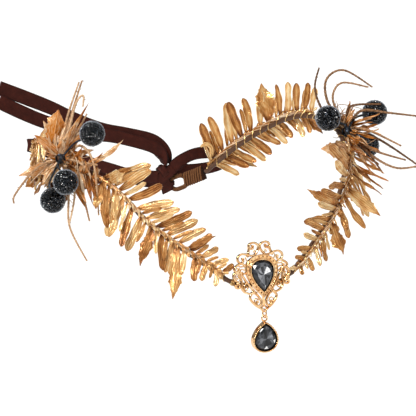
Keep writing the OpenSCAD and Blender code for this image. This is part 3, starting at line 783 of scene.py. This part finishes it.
def curled_radii(s, angles):
    """A leaf that has curled up into a flattened roll, thin at both ends."""
    full = sin(pi * min(s / 19, 1)) ** 0.7
    return CURLED_R * (0.25 + 0.75 * full) * (0.35 + 0.65 * np.abs(np.cos(angles)))


stem_fibres, stem_tones = [], []
for name, row in FRONDS.items():
    (k, tip, root, count, longest, tip_share, lower, seat, upper_lift, lower_lift, twist, lean_tip,
     lean_root, leaf_width, seed) = row
    span = root - tip
    parts = []
    for i, up, second in itertools.product(range(count), (1, -1), (0, 1)):
        f = (i + 0.3 - up * 0.2 + 0.5 * second) / count
        t = tip + span * f
        n = seed + i * 2 - up + 0.37 * second
        share = (tip_share + (1 - tip_share) * sin(pi / 2 * f)) * (1 if up > 0 else lower)
        wide_ones = [q for q in TOOTHED[name] if q[3] >= 10 and q[1] == up]
        free = all(abs(t - q[0]) > TOOTHED_ROOM for q in wide_ones)
        if free and f < 0.98 and (not second or wander(n, 8) > -0.6):
            frond_leaf(
                t, up, longest * share * (1 + 0.1 * wander(n, 1)) * (1 - 0.28 * second),
                leaf_width * (0.45 + 0.55 * share) * (1 + 0.12 * wander(n, 2)) * (1 - 0.45 * second),
                lean_tip + (lean_root - lean_tip) * f + 7 * wander(n, 3),
                (upper_lift if up > 0 else lower_lift) + 10 * wander(n, 4) + 11 * second, twist, PLAIN_LEAF,
                0.1 * wander(n, 5), n,
            )
    for i in range(4 * count):
        n = seed + i * 1.7
        frond_leaf(
            tip + span * (i + 0.5) / (4 * count), 1 - i % 2 * 2, 4.4 + 1.4 * wander(n, 6), 1.7, 34,
            45 + 40 * wander(n, 7), twist, PLAIN_LEAF, 0.2, n, rings=6, tone=0.1,
        )
    for j, row in enumerate(TOOTHED[name]):
        frond_leaf(*row, TOOTHED_LEAF, 0.06, seed + j * 3.3, tone=-0.05 if k < 0 else -0.16)
    if name == "back_frond_right":
        bent = stem_at(0.975, k, seat) + along(CURLED_PATH, 6)
        parts.append(rod(bent, curled_radii, 12, 0.55))
    stem = np.array([stem_at(t, k, seat) for t in np.linspace(tip, root, 60)])
    parts.append(rod(stem, stem_radii, 9, 0.35))
    fix(build(name + "_leaves", parts, leaf_finish, 60), "leaf_gold", name)
    for j in range(7):
        stem_fibres.append(coil_round(stem, (0, 0, 1), 0.8 + 0.12 * (j % 3), 16 + j * 4, 9))
        stem_tones.append(0.5 + 0.08 * j)
fix(swept("frond_stem_fibres", stem_fibres, 0.24, 5, straw_finish, tones=stem_tones), "leaf_gold")

# Clusters. Over each temple a short hub is wound with raffia, with leaves and torn raffia strands that
# spring from it on all sides. The hub is tied down on the band.
CLUSTER_AT = 0.57
HUB_OFF = {"left": 5.5, "right": 4.9}
BESIDE_HUB = (0.55, 0.53, 0.51, 0.49)
TORN_LEAF = [
    (0, 0.3), (0.12, 0.7), (0.3, 0.95), (0.5, 1), (0.7, 0.84), (0.85, 0.55), (0.95, 0.25), (1, 0.06),
]
TORN_SHARE = 0.72
HUB_HALF = 5.3
# Columns: azimuth, elevation, length, width, whether toothed, foot seen from the hub.
CLUSTER_LEAVES = {
    "left": [
        (12, 69, 21, 12, 1, -5, 4, 7), (161, -26, 26, 7, 1), (-165, -36, 20, 8, 0), (-160, -48, 20, 6, 0),
        (-29, 40, 22, 3, 1, 9, -23, 1), (-33, 16, 19, 5, 0), (-45, 58, 20, 5, 0),
        (-67, -63, 32, 5, 0, 0.3, 0, 0.2), (-66, -45, 30, 5, 0), (-28, 50, 24, 4.5, 0, -3, 1, 6),
        (20, 62, 22, 4.5, 0, -2, 1, 5), (100, 58, 20, 5, 0, -4, 2, 3), (-70, 55, 16, 6, 0, 2, 0, 8),
        (-72, 12, 15, 6, 0, 2, -2, 0), (150, 40, 17, 6, 0, -2, 0, 4),
    ],
    "right": [
        (172, 2, 20, 12, 1, 2, -8, -10), (179, -22, 10, 5, 0, 1, -8, -16), (-52, -39, 14, 6, 0, 4, -8, -11),
        (-32, -28, 22, 5, 0, 1, -8, -18), (-24, 6, 15, 4, 0, 3, -1, 0), (-48, -19, 15, 7, 1, 4, -6, -6),
        (-30, 25, 18, 4.5, 0, 2, -2, 3), (-35, 22, 15, 5, 0, 4, -2, -4), (-60, -60, 20, 5, 0, 2, -8, -6),
        (-80, -20, 15, 6, 0, 0, -6, -6), (-110, -50, 16, 6, 0, 1, -2, -6), (60, 40, 14, 5, 0, 2, 2, 4),
        (-20, -35, 16, 5, 0, 3, -6, -10),
    ],
}
RAFFIA = {
    "left": [
        [(6, 1, 24), (14, 4, 43)], [(5, 5, 21), (15, 10, 41)], [(8, 0, 30), (12, -2, 36), (11, -4, 30)],
        [(7, -5, 16), (13, -5, 26)], [(7, -9, 9), (9, -23, 1), (11, -25, -28)],
        [(4, -12, 1), (8, -19, -5), (10, -22, -18)], [(-14, 3, -4), (-27, 4, -18), (-29, 2, -23)],
        [(1, -6, -18), (-1, -12, -36), (6, -20, -55)], [(3, -10, -16), (-3, -16, -34)],
        [(6, -10, -13), (9, -17, -33)],
    ],
    "right": [
        [(-10, 9, 10), (-12, 16, 22), (-8, 19, 33)], [(-8, 8, 16), (-7, 11, 28), (2, 7, 33), (15, -3, 24)],
        [(-7, 3, 18), (-2, 2, 27), (11, -6, 25)], [(1, -3, 14), (14, -16, 17)],
        [(10, 1, 10), (26, -3, 8), (42, -11, 6)], [(9, -8, 1), (24, -22, -7)], [(16, -9, -5), (37, -22, -21)],
        [(9, -16, -9), (24, -28, -14)], [(10, -12, -13), (22, -20, -20), (36, -24, -19)],
        [(7, -12, -10), (13, -21, -22)],
    ],
}
BERRIES = {
    "left": [
        ((-76, -38, 35), (-85, -33, 29)), ((-91, -35, 8), (-94, -31, 17)),
        ((-94, -24, -4.5), (-100, -33, 8)),
    ],
    "right": [
        ((76, -26, 27), (85, -30, 23)), ((112, -12, 24), (94, -24, 25)), ((106, -14, 6), (97, -33, 14.5)),
    ],
}
BERRY_D = 14.0
FIBRES = 70
SHREDS = 180
THORN_GAP = 1.7
ONE_THORN = 99


def aim(az, el):
    az, el = radians(az), radians(el)
    return np.array((cos(el) * cos(az), cos(el) * sin(az), sin(el)))


def clear_of_berries(points, side, room):
    return all(
        np.linalg.norm(points - np.array(b[0]), axis=1).min() > BERRY_D / 2 + room for b in BERRIES[side]
    )


def hub_radii(s, angles):
    return 0.3 + 2.6 * spindle(s, HUB_HALF, 5.7) + 0.15 * np.sin(angles * 4 + s)


def turned_by(d, rng, spread):
    """The direction d, turned at random by up to about spread degrees."""
    return unit(d + tan(radians(spread)) * rng.uniform(-1, 1, 3))


dry_finish = leaf_finish_of(
    "dry_leaf", 0.15, 1.3, (0.05, "#5a2d0c"), (0.28, "#c8741a"), (0.46, "#cc9055"), (0.66, "#e2bb8e"),
    (0.9, "#f8e8cc"),
)
for side, k in SIDES.items():
    right = k > 0
    rng = np.random.default_rng(11 + k)
    out = outward(CLUSTER_AT, k)
    h = arm(CLUSTER_AT, k) + out * HUB_OFF[side]
    lie = heading(CLUSTER_AT, k)
    facing = unit((h[0] * (1 if right else 0.2), h[1] - 40, 30))
    leaves = [
        (np.array(foot or (0, 0, 0), float), aim(az, el), length, width, toothed)
        for az, el, length, width, toothed, *foot in CLUSTER_LEAVES[side]
    ]
    parts = [
        leaf(
            h + foot, d, facing, length, width * (1 if toothed else TORN_SHARE),
            TOOTHED_LEAF if toothed else TORN_LEAF, 0.08, j * 2.7 + k, folds=1.3, tone=-0.1 * right,
        ) for j, (foot, d, length, width, toothed) in enumerate(leaves)
    ]
    # Where torn strips may spring from: foot seen from the hub, direction and length. They come from the
    # leaves, the raffia, both ends of the hub and the band beside it, and a way may count several times.
    ways = [row[:3] for row in leaves]
    for first, *_ in RAFFIA[side]:
        if not right or first[2] < 9:
            ways.append((np.zeros(3), unit(first), 1.5 * float(np.linalg.norm(first))))
    ways += [(lie * 7 * e, unit(lie * e + out * 0.5), 12.0) for e in (1, -1)] * 4
    if right:
        ways += [(-lie * 9 + (0, 0, z), unit((0, 0, -1) - lie * 0.5), 17.0) for z in (0, 4, -3)]
        for t in (0.6, 0.57, *BESIDE_HUB):
            below = arm(t, k) + outward(t, k) * 1.5 + facing * 2.5 - h
            ways += [(below, unit(lie * e + outward(t, k) * 0.2), 12.0) for e in (1, -1)] * 4
        ways += [(np.array((-1.0, -2, 4)), aim(az, 72), 13.0) for az in (-120, -60, 0)] * 2
    else:
        ways += [(np.array((3.0, -1, 6)), aim(az, 55), 15.0) for az in (-70, -30, -10)] * 2
        for t, e in itertools.product(BESIDE_HUB, (-1, -1, 1)):
            below = arm(t, k) + outward(t, k) * 4 - h
            ways += [(below, unit((0.25, -0.3, e)), 18.0 - 6 * e)] * 2
    made = 0
    while made < SHREDS:
        foot, d, length = ways[rng.integers(len(ways))]
        d = turned_by(d, rng, 20)
        p = h + foot * rng.uniform(0.3, 1) + rng.uniform(-1.5, 1.5, 3)
        size = length * rng.uniform(0.3, 0.8)
        if not clear_of_berries(p + np.outer(np.linspace(0, size, 8), d), side, 1.5):
            continue
        made += 1
        parts.append(leaf(
            p, d, unit(facing + rng.uniform(-0.6, 0.6, 3)), size, rng.uniform(0.8, 2.6), TORN_LEAF,
            rng.uniform(-0.3, 0.4), rng.uniform(0, 40), 9, rng.uniform(-0.35, 0.2) - 0.09 * right, 1.5,
        ))
    hub = h + np.outer(np.linspace(-HUB_HALF, HUB_HALF, 24), lie)
    parts.append(rod(hub, hub_radii, 14, 0.3))
    fix(build(f"cluster_{side}_leaves", parts, dry_finish), "leaf_gold", f"cluster_{side}")

    # Rows of path, thickness and tone: the long strands with their thorns, the stalks of the leaves, the
    # turns that wind the hub and the fine fibres.
    strands = []
    for j, row in enumerate(RAFFIA[side]):
        bends = np.array(row, float)
        path = h + along([bends[0] * 0.15, *bends], 26)
        s = lengths(path)
        thick = (0.88 - 0.4 * s / s[-1]) * (1 + 0.12 * np.sin(s * 3.1 + j * 2))
        strands.append((path, thick, (0.1 if right else 0.4) + 0.12 * (j % 3)))
        for at in np.arange(6, s[-1], ONE_THORN if j % 2 else THORN_GAP):
            q = path[np.searchsorted(s, at)]
            end = q + turned_by(unit(path[-1] - q + 0.01), rng, 70) * rng.uniform(0.9, 1.5)
            strands.append((np.array([q, end]), (0.42, 0.08), 0.25))
    for foot, *_ in leaves:
        if np.linalg.norm(foot) > 1:
            strands.append((h + np.outer(np.linspace(0.1, 1.1, 8), foot), 0.6, 0.5))
    u = across((0, 0, 1), lie)
    turn = np.linspace(0, 2 * pi * 1.1, 18)
    round_hub = np.outer(np.cos(turn), u) + np.outer(np.sin(turn), np.cross(lie, u))
    for j in range(-4, 5):
        middle = h + lie * (j * 1.15 + 0.4 * rng.uniform(-1, 1))
        path = middle + (3.0 - 0.07 * j ** 2) * round_hub + np.outer(turn * 0.16, lie)
        strands.append((path, 0.42, rng.uniform(0.2, 0.7)))
    made = 0
    while made < FIBRES:
        row = RAFFIA[side][rng.integers(len(RAFFIA[side]))]
        if rng.random() < 0.55:
            foot, d, length, *_ = leaves[rng.integers(len(leaves))]
            row = [foot + d * length * 0.5, foot + d * length]
        reach = rng.uniform(0.3, 0.65) * (0.7 if right else 1)
        bends = [np.array(q, float) * reach + rng.uniform(-2.6, 2.6, 3) for q in row]
        path = h + along([bends[0] * 0.15 + rng.uniform(-1, 1, 3), *bends], 7)
        if not clear_of_berries(path, side, 0.6):
            continue
        made += 1
        thick = np.linspace(1, 0.5, len(path)) * rng.uniform(0.22, 0.42)
        strands.append((path, thick, rng.uniform(0.1, 0.6) + (0 if right else 0.25)))
    paths, swells, tones = zip(*strands)
    fix(swept(f"cluster_{side}_raffia", paths, 1.0, 6, straw_finish, swells, tones), "raffia")

# Berries and stems. Three dark beads a side are rolled in clear sugar glass, on dark blue wire that is
# wound round itself. Each set of stems is twisted together at a small bead of wire in the cluster.
STEM_KNOTS = {"left": (-91, -28, 20), "right": (86, -30, 19)}
STEM_D = 1.15
TWIST_R = 2.8
CORE_R = 6.75
CORE_DEPTH = 1.05
GRAIN_R = 0.62
GRAINS = 1250
BALL_SIDES = 32

stem_finish, tree, shader = new_finish("stem_wire", "#1c2230", 0.38, Metallic=0.3, Coat_Weight=0.3)
# Sparse pale blue-grey spots in the noise are painted glints on the dark wire.
coloured(tree, shader, noise(tree, 700), (0.5, "#090b10"), (0.62, "#1b2433"), (0.7, "#7788a0"))
core_finish, tree, shader = new_finish("berry_core", "#131518", 0.6, Specular_IOR_Level=0.2)
coloured(tree, shader, noise(tree, 420, 3), (0.4, "#030304"), (0.7, "#0e0f11"))
bump(tree, shader, noise(tree, 900, 3), 0.0005, 0.8)
sugar_finish, tree, shader = new_finish(
    "sugar_glass", "#ffffff", 0.06, Transmission_Weight=1.0, IOR=1.33, Specular_IOR_Level=0.25,
)
# Sparse white, opaque grains among the clear ones are painted glints on the sugar.
sugar_speck = noise(tree, 1100, 1)
# Towards the rim of each ball as seen, the grains turn pale grey and less clear: a painted sheen along the
# ball's edge.
sugar_round = node(tree, "ShaderNodeAttribute", attribute_name="round").outputs["Vector"]
sugar_edge = node(tree, "ShaderNodeLayerWeight", {"Blend": 0.5, "Normal": sugar_round}).outputs["Facing"]
sugar_rim_sheen = ramp(tree, sugar_edge, (0.62, "#000000"), (0.86, "#ffffff"))
sugar_tint = ramp(tree, sugar_speck, (0.3, "#868c94"), (0.6, "#c6cbd1"), (0.7, "#ffffff"))
sugar_clear = ramp(tree, sugar_speck, (0.71, "#ffffff"), (0.75, "#303030"))
fed(tree, shader.inputs["Base Color"], mixed(tree, sugar_rim_sheen, sugar_tint, "#9aa0a8"))
fed(tree, shader.inputs["Transmission Weight"], mixed(tree, sugar_rim_sheen, sugar_clear, "#606060"))


def sugar_tree():
    """Sticks grains of glass on a ball, which then shrinks to the dark core below them."""
    made, given = new_group("sugared_ball", {
        "Ball": "Geometry", "Grains per square metre": "Float", "Grain radius": "Float",
        "Core depth": "Float", "Seed": "Int", "Glass": "Material",
    })

    def grow(kind, inputs, out=0, **settings):
        return node(made, kind, inputs, **settings).outputs[out]

    normal = grow("GeometryNodeInputNormal", {})
    inward = grow("ShaderNodeVectorMath", {0: normal, "Scale": given["Core depth"]}, operation="SCALE")
    core = grow("GeometryNodeSetPosition", {"Geometry": given["Ball"], "Offset": inward})
    density = {"Density": given["Grains per square metre"], "Seed": given["Seed"]}
    points = node(made, "GeometryNodeDistributePointsOnFaces", {"Mesh": given["Ball"], **density}).outputs
    facing = {"Geometry": points["Points"], "Name": "round", "Value": points["Normal"]}
    points = grow("GeometryNodeStoreNamedAttribute", facing, data_type="FLOAT_VECTOR")
    turn, size = (
        grow("FunctionNodeRandomValue", {0: (a,) * 3, 1: (b,) * 3, "Seed": seed}, data_type="FLOAT_VECTOR")
        for a, b, seed in ((0, 6.28, 3), (0.5, 1.35, 5))
    )
    ball = {"Radius": given["Grain radius"], "Subdivisions": 1}
    grain = grow("GeometryNodeMeshIcoSphere", ball, "Mesh")
    glass = grow("GeometryNodeSetMaterial", {"Geometry": grain, "Material": given["Glass"]})
    stuck = grow("GeometryNodeInstanceOnPoints", {
        "Points": points, "Instance": glass, "Rotation": turn, "Scale": size,
    })
    both = node(made, "GeometryNodeJoinGeometry")
    made.links.new(stuck, both.inputs[0])
    made.links.new(core, both.inputs[0])
    whole = grow("GeometryNodeRealizeInstances", {"Geometry": both.outputs[0]})
    node(made, "NodeGroupOutput", {"Grown": whole})
    return made


sugar = sugar_tree()
sugaring = {
    "Grains per square metre": GRAINS / (4 * pi * (CORE_R * MM) ** 2), "Grain radius": GRAIN_R * MM,
    "Core depth": -CORE_DEPTH * MM, "Glass": sugar_finish,
}
slices = np.linspace(0, pi, 20)[1:-1]
upright = np.array((0, 0, 1.0))
turns = np.linspace(0, 24, 300)
swing = np.sin(turns * 3.1)
twist = TWIST_R * np.stack([swing * np.cos(turns), swing * np.sin(turns), np.cos(turns * 3.1)], 1)
for side, k in SIDES.items():
    knot = np.array(STEM_KNOTS[side], float)
    stems, wraps = [], []
    for j, (place, bend) in enumerate(zip(("upper", "middle", "lower"), BERRIES[side])):
        at, bend = np.array(bend, float)
        path = along([knot, bend, at + unit(bend - at) * (BERRY_D / 2 + 0.3)], 20)
        stems.append(rod(path, lambda s, angles: STEM_D / 2 - 0.1 + 0 * angles, 9))
        wraps.append(coil_round(path, (0, 0.3, 1), STEM_D / 2 - 0.06, 0.5, 8))
        rings = [
            ring_round(
                at - upright * CORE_R * cos(b), upright, np.full(BALL_SIDES, CORE_R * sin(b)), (1, 0, 0)
            ) for b in slices
        ]
        ball = loft(rings, slices, np.arange(BALL_SIDES + 1) / BALL_SIDES)
        name = f"berry_{side}_{place}"
        carrier = build(name + "_ball", [ball], core_finish, 80)
        berry = grown(name + "_sugared", carrier, sugar, {**sugaring, "Seed": 10 * j + k + 3})
        berry.data.polygons.foreach_set("use_smooth", [False] * len(berry.data.polygons))
        fix(berry, "berry_sugar", name)
    fix(build(f"berry_stems_{side}_wire", stems, stem_finish), "stem_wire", f"berry_stems_{side}")
    fix(swept(f"berry_stems_{side}_turns", [*wraps, knot + twist], 0.2, 5, stem_finish), "stem_wire")

# Medallion. Gilt wire scrolls are soldered round a pear bezel with a row of small piercings in its rim,
# on a thin pierced plate that shows between them. A small eye below carries the pendant.
STONE_W, STONE_H = 13.6, 18.2
MEDALLION_TILT = radians(78)
PLATE_TOP = -1.0
RING_TOP = 0.1
RING_HOLES = 28
RING_HOLE_R = 0.5
SCROLL_R = 0.62
SCROLL_KNOB = (1.15, 1.5, 1.7, 1.1)
SCROLLS = [
    [(0.2, 16.2), (0.7, 17.5), (2, 18.6), (4, 19), (5.9, 18.2), (6.3, 16.6), (5.1, 15.6), (3.8, 16.1),
     (4, 17.1)],
    [(0.4, 16.8), (1, 14.6), (3.1, 12.1), (6, 12), (9, 13), (11.7, 13.1), (13.6, 11.6), (13.6, 9.4),
     (12, 8.2), (10.5, 9.1), (10.7, 10.5)],
    [(6.2, 16.4), (6.5, 14.8), (7.3, 12.6)],
    [(8.8, 5.8), (10.6, 7.4), (12.4, 8), (14.4, 7.2), (16, 5.9), (16.1, 4.3), (14.8, 3.5), (13.6, 4.3),
     (14, 5.2)],
    [(14.6, 3.6), (16.4, 3), (17.2, 1.5), (16.6, -0.6), (15, -2.3), (13.9, -4), (14.4, -5.4), (15.9, -5.4),
     (16.4, -4.2)],
    [(13.7, 4.6), (12.6, 2.6), (10.8, -0.5), (8.6, -3.9), (6.3, -7), (4.2, -9.8)],
    [(14.4, 3.5), (13.6, 1.2), (12.6, -1.6), (12.8, -4.2), (12.2, -6.8), (10.4, -8.6), (7.8, -9.3),
     (5.6, -8.2)],
    [(9.3, 2.4), (10.6, 2.2), (12.2, 1.9)],
    [(5.2, -8.8), (7.3, -9.9), (8.2, -11.6), (7.2, -13.8), (5.3, -15.9), (3.2, -17.5), (1.6, -18.2)],
    [(4.4, -9.6), (2.8, -11.6), (1.6, -14), (2, -16.2), (3.6, -16.6), (4.6, -15.3), (3.9, -14.2)],
]
# Finer wires that fill the scrolls, and their width against a scroll's.
FILLERS = [
    [(9.6, 6.4), (11.6, 6.2), (13.2, 6.4), (13.6, 7.6), (12.6, 8.2)],
    [(10.4, 4.2), (12, 4.8), (12.9, 3.8), (12.3, 2.8), (11.4, 3.2)],
    [(15.4, 2.6), (16, 1.2), (15.2, -0.4), (14.2, 0.4), (14.8, 1.4)],
    [(13.4, -1), (14.6, -2.2), (15.6, -3.4), (15.2, -4.6)],
    [(9.4, -3), (11, -4.2), (11.6, -6), (10.4, -7.2), (9.2, -6.4), (9.8, -5.2)],
    [(4.4, 13.4), (3.4, 14.6), (2.6, 13.8), (3.2, 12.9)], [(8.4, 9.2), (9, 11), (8.2, 12), (7.2, 11.2)],
    [(3.2, -13.2), (4.4, -12.4), (5.6, -12.8), (5.8, -14.2), (4.9, -14.8)],
]
FILLER_SHARE = 0.62

gilt_finish, tree, shader = new_finish("gilt_metal", "#e3b06a", 0.24, Metallic=1.0)
coloured(tree, shader, noise(tree, 300, 3), (0.3, "#cf965c"), (0.55, "#ecc08a"), (0.8, "#fbe3bd"))
fed(tree, shader.inputs["Roughness"], ramp(tree, noise(tree, 900), (0.3, "#2c2c2c"), (0.7, "#565656")))
bump(tree, shader, noise(tree, 1500), 0.0001, 0.4)


def stone_point(x, y, z):
    """A point of the medallion, where x is across it, y up it and z out of its face."""
    c, s = cos(MEDALLION_TILT), sin(MEDALLION_TILT)
    return np.array((x, y * c - z * s, y * s + z * c)) + np.array(STONE_AT)


def pear(w, h, m, a):
    """Points of a pear outline at the angles a from its point up, where m makes the point longer."""
    c = -m / (2 + m)
    peak = sqrt(1 - c * c) * ((1 - c) / 2) ** (m / 2)
    return np.stack([-w / 2 * np.sin(a) * np.abs(np.sin(a / 2)) ** m / peak, h / 2 * np.cos(a)], 1)


for name in ("medallion", "jump_ring", "drop_setting"):
    refinish(name, gilt_finish)

RIM_STEPS = 56
# The wires of the rim run on for one step past a whole turn, so that their ends lie in each other.
whole_turn = np.arange(RIM_STEPS + 2) * 2 * pi / RIM_STEPS
scroll_paths, scroll_swells = [], []
for route, share in [(r, 1) for r in SCROLLS] + [(r, FILLER_SHARE) for r in FILLERS]:
    flat = along([(*p, 0) for p in route], 7)
    for side in (1, -1):
        scroll_paths.append(np.array([stone_point(side * x, y, PLATE_TOP - 0.12) for x, y, _ in flat]))
        swell = np.full(len(flat), SCROLL_R * share)
        swell[-len(SCROLL_KNOB):] *= SCROLL_KNOB
        scroll_swells.append(swell)
for size, high, r in ((5.6, RING_TOP, 0.36), (2.0, RING_TOP, 0.3), (1.15, 0.72, 0.3)):
    scroll_paths.append(np.array([
        stone_point(-x, -y, high) for x, y in pear(STONE_W + size, STONE_H + size, 1, whole_turn)
    ]))
    scroll_swells.append(r)
fix(swept("medallion_scrolls", scroll_paths, 1.0, 10, gilt_finish, scroll_swells), "gilt_metal")


def shell(name, points, faces, material, tones=None):
    """A closed mesh of flat faces that point outwards, with a tone for each face."""
    mesh = bpy.data.meshes.new(name)
    mesh.from_pydata(np.array(points) * MM, [], faces)
    mark(mesh, "facet", tones or [0.5] * len(faces), [1] * len(faces), "FACE")
    mesh.materials.append(material)
    solid = bmesh.new()
    solid.from_mesh(mesh)
    bmesh.ops.remove_doubles(solid, verts=solid.verts, dist=0.00001)
    bmesh.ops.recalc_face_normals(solid, faces=solid.faces)
    solid.to_mesh(mesh)
    solid.free()
    return object_of(mesh, name)


def pierced_ring(inner, outer, top, deep):
    """A flat pear ring, in RING_HOLES equal lengths that each have a round hole through the middle."""
    points, faces = [], []
    edge = np.array([(0, 0), (0.5, 0), (1, 0), (1, 0.5), (1, 1), (0.5, 1), (0, 1), (0, 0.5)])
    for i in range(RING_HOLES):
        a = (i + edge[:, 0]) * 2 * pi / RING_HOLES
        near, far = (pear(STONE_W + size, STONE_H + size, 1, a) for size in (inner, outer))
        rim = near + (far - near) * edge[:, 1:]
        middle = (rim[1] + rim[5]) / 2
        hole = middle + (rim - middle) / np.linalg.norm(rim - middle, axis=1)[:, None] * RING_HOLE_R
        at = len(points)
        points += [stone_point(-x, -y, z) for ring, z in ((rim, top), (hole, top), (hole, deep), (rim, deep))
                   for x, y in ring]
        for j in range(8):
            k = (j + 1) % 8
            walls = (0, 1, 3) if j < 2 or 4 <= j < 6 else (0, 1)
            faces += [[at + 8 * r + j, at + 8 * r + k, at + (8 * r + 8) % 32 + k, at + (8 * r + 8) % 32 + j]
                      for r in walls]
    return shell("medallion_ring", points, faces, gilt_finish)


fix(pierced_ring(1.9, 5.6, RING_TOP, PLATE_TOP - 0.1), "gilt_metal")

# Lashings. Pale wire ties the medallion to the band on both sides, in short close windings.
LASHINGS = ((0.083, 3.2), (0.118, 2.4), (0.15, 2.0))
for side, k in SIDES.items():
    rounds = []
    for middle, length in LASHINGS:
        fine = np.linspace(middle - 0.03, middle + 0.03, 40)
        run = np.array([arm(t, k) for t in fine])
        near = np.abs(lengths(run) - lengths(run)[-1] / 2) < length / 2
        rounds.append(coil_round(run[near], (0, 0, 1), BAND_D / 2 + 0.25, 0.62, 14))
    fix(swept(f"lashing_{side}", rounds, 0.3, 6, gold_wire), "leaf_gold")

# Medallion stone and drop. Both are dark smoky glass, faceted, in a plain gilt cup. The drop swings on
# a bail and a jump ring below the medallion.
DROP_W, DROP_H = 15.6, 17.6
DROP_AT = np.array((0, -103.95, -75.4))
RIM_BEADS = 34
CUT = 16

stone_finish, tree, shader = new_finish(
    "smoke_stone", "#24262b", 0.05, Specular_IOR_Level=0.5, IOR=1.45
)
# The facet tone is painted light: near-black facets as painted shade, grey and white ones as painted
# reflections and glints; the noise adds a cloud in the glass.
facet = node(tree, "ShaderNodeAttribute", attribute_name="facet").outputs["Fac"]
reflections_and_cloud = sum_of(tree, "ADD", facet, around_nil(tree, noise(tree, 300), 0.3))
coloured(
    tree, shader, reflections_and_cloud, (0.08, "#050506"), (0.35, "#2c2e32"), (0.6, "#77797e"), (0.82, "#b9bbc0"),
    (0.97, "#ffffff"),
)


def cut_stone(name, w, h, m, heights, place, table, glint_facets):
    """A stone of flat facets: a back, a girdle, two rows of crown facets and a table. Each facet has a
    painted tone: table gives the tones of the table, from the point round, as painted reflections of the
    facets behind it, and the last argument lists the facets painted white as glints."""
    rng = np.random.default_rng(5)
    points = []
    shares, turns = (0.55, 1, 1, 0.83, 0.6, 0.3), (0, 0, 0, 0.5, 0, 0.5)
    for share, z, turn in zip(shares, (*heights, heights[-1] + 0.03), turns):
        a = (np.arange(CUT) + turn) * 2 * pi / CUT
        points += [place(x, y, z) for x, y in pear(w * share, h * share, m, a)]
    points += [place(0, -h * 0.04, heights[4] + 0.05), place(0, 0, heights[0] - 0.1)]
    faces, tones = [], []
    for r in range(5):
        for i in range(CUT):
            j = (i + 1) % CUT
            a, b, c, d = r * CUT + i, r * CUT + j, (r + 1) * CUT + j, (r + 1) * CUT + i
            pair = {2: [(a, b, d), (b, c, d)], 3: [(a, b, c), (a, c, d)], 4: [(a, b, d), (b, c, d)]}
            pair = pair.get(r, [(a, b, c, d)])
            faces += pair
            # Painted tones by row: back, girdle and lower crown darker as painted shade, upper crown and
            # table lighter as painted reflections.
            plain = (0.15, 0.05, 0.16, 0.3, table[i] * 0.95)[r]
            tones += [plain + rng.uniform(-0.1, 0.16) * (r > 1) for _ in pair]
    for i in range(CUT):
        j = (i + 1) % CUT
        faces += [(5 * CUT + i, 5 * CUT + j, len(points) - 2), (j, i, len(points) - 1)]
        tones += [table[i] + rng.uniform(-0.08, 0.08), 0.2]
    for index in glint_facets:
        tones[index] = 1.0
    return shell(name, points, faces, stone_finish, tones)


middle_stone = cut_stone(
    "middle_stone_cut", STONE_W, STONE_H, 1, (-1.4, -0.1, 0.2, 1.7, 2.5),
    lambda x, y, z: stone_point(-x, -y, z),
    (0.3, 0.12, 0.3, 0.16, 0.5, 0.97, 0.97, 0.5, 0.3, 0.6, 0.3, 0.66, 0.58, 0.55, 0.5, 0.12), (65, 106),
)
fix(middle_stone, "smoke_stone", "middle_stone")
drop_stone = cut_stone(
    "drop_stone_cut", DROP_W - 1.8, DROP_H - 1.8, 0.6, (-1, 0.4, 0.7, 2, 2.6),
    lambda x, y, z: DROP_AT + np.array((x, -z, y - 0.1)),
    (0.15, 0.1, 0.3, 0.45, 0.6, 0.5, 0.3, 0.12, 0.2, 0.1, 0.35, 0.55, 0.6, 0.4, 0.3, 0.12), (78, 84),
)
fix(drop_stone, "smoke_stone", "drop_stone", body="drop")
rim_turn = np.linspace(0, 2 * pi, RIM_BEADS * 6 + 1)
drop_rim = swept(
    "drop_setting_rim",
    [DROP_AT + np.array([(x, -1.55, y) for x, y in pear(DROP_W - 0.9, DROP_H - 0.9, 0.6, rim_turn)])],
    0.45, 10, gilt_finish, [1 + 0.22 * np.cos(rim_turn * RIM_BEADS)],
)
fix(drop_rim, "gilt_metal", body="drop")
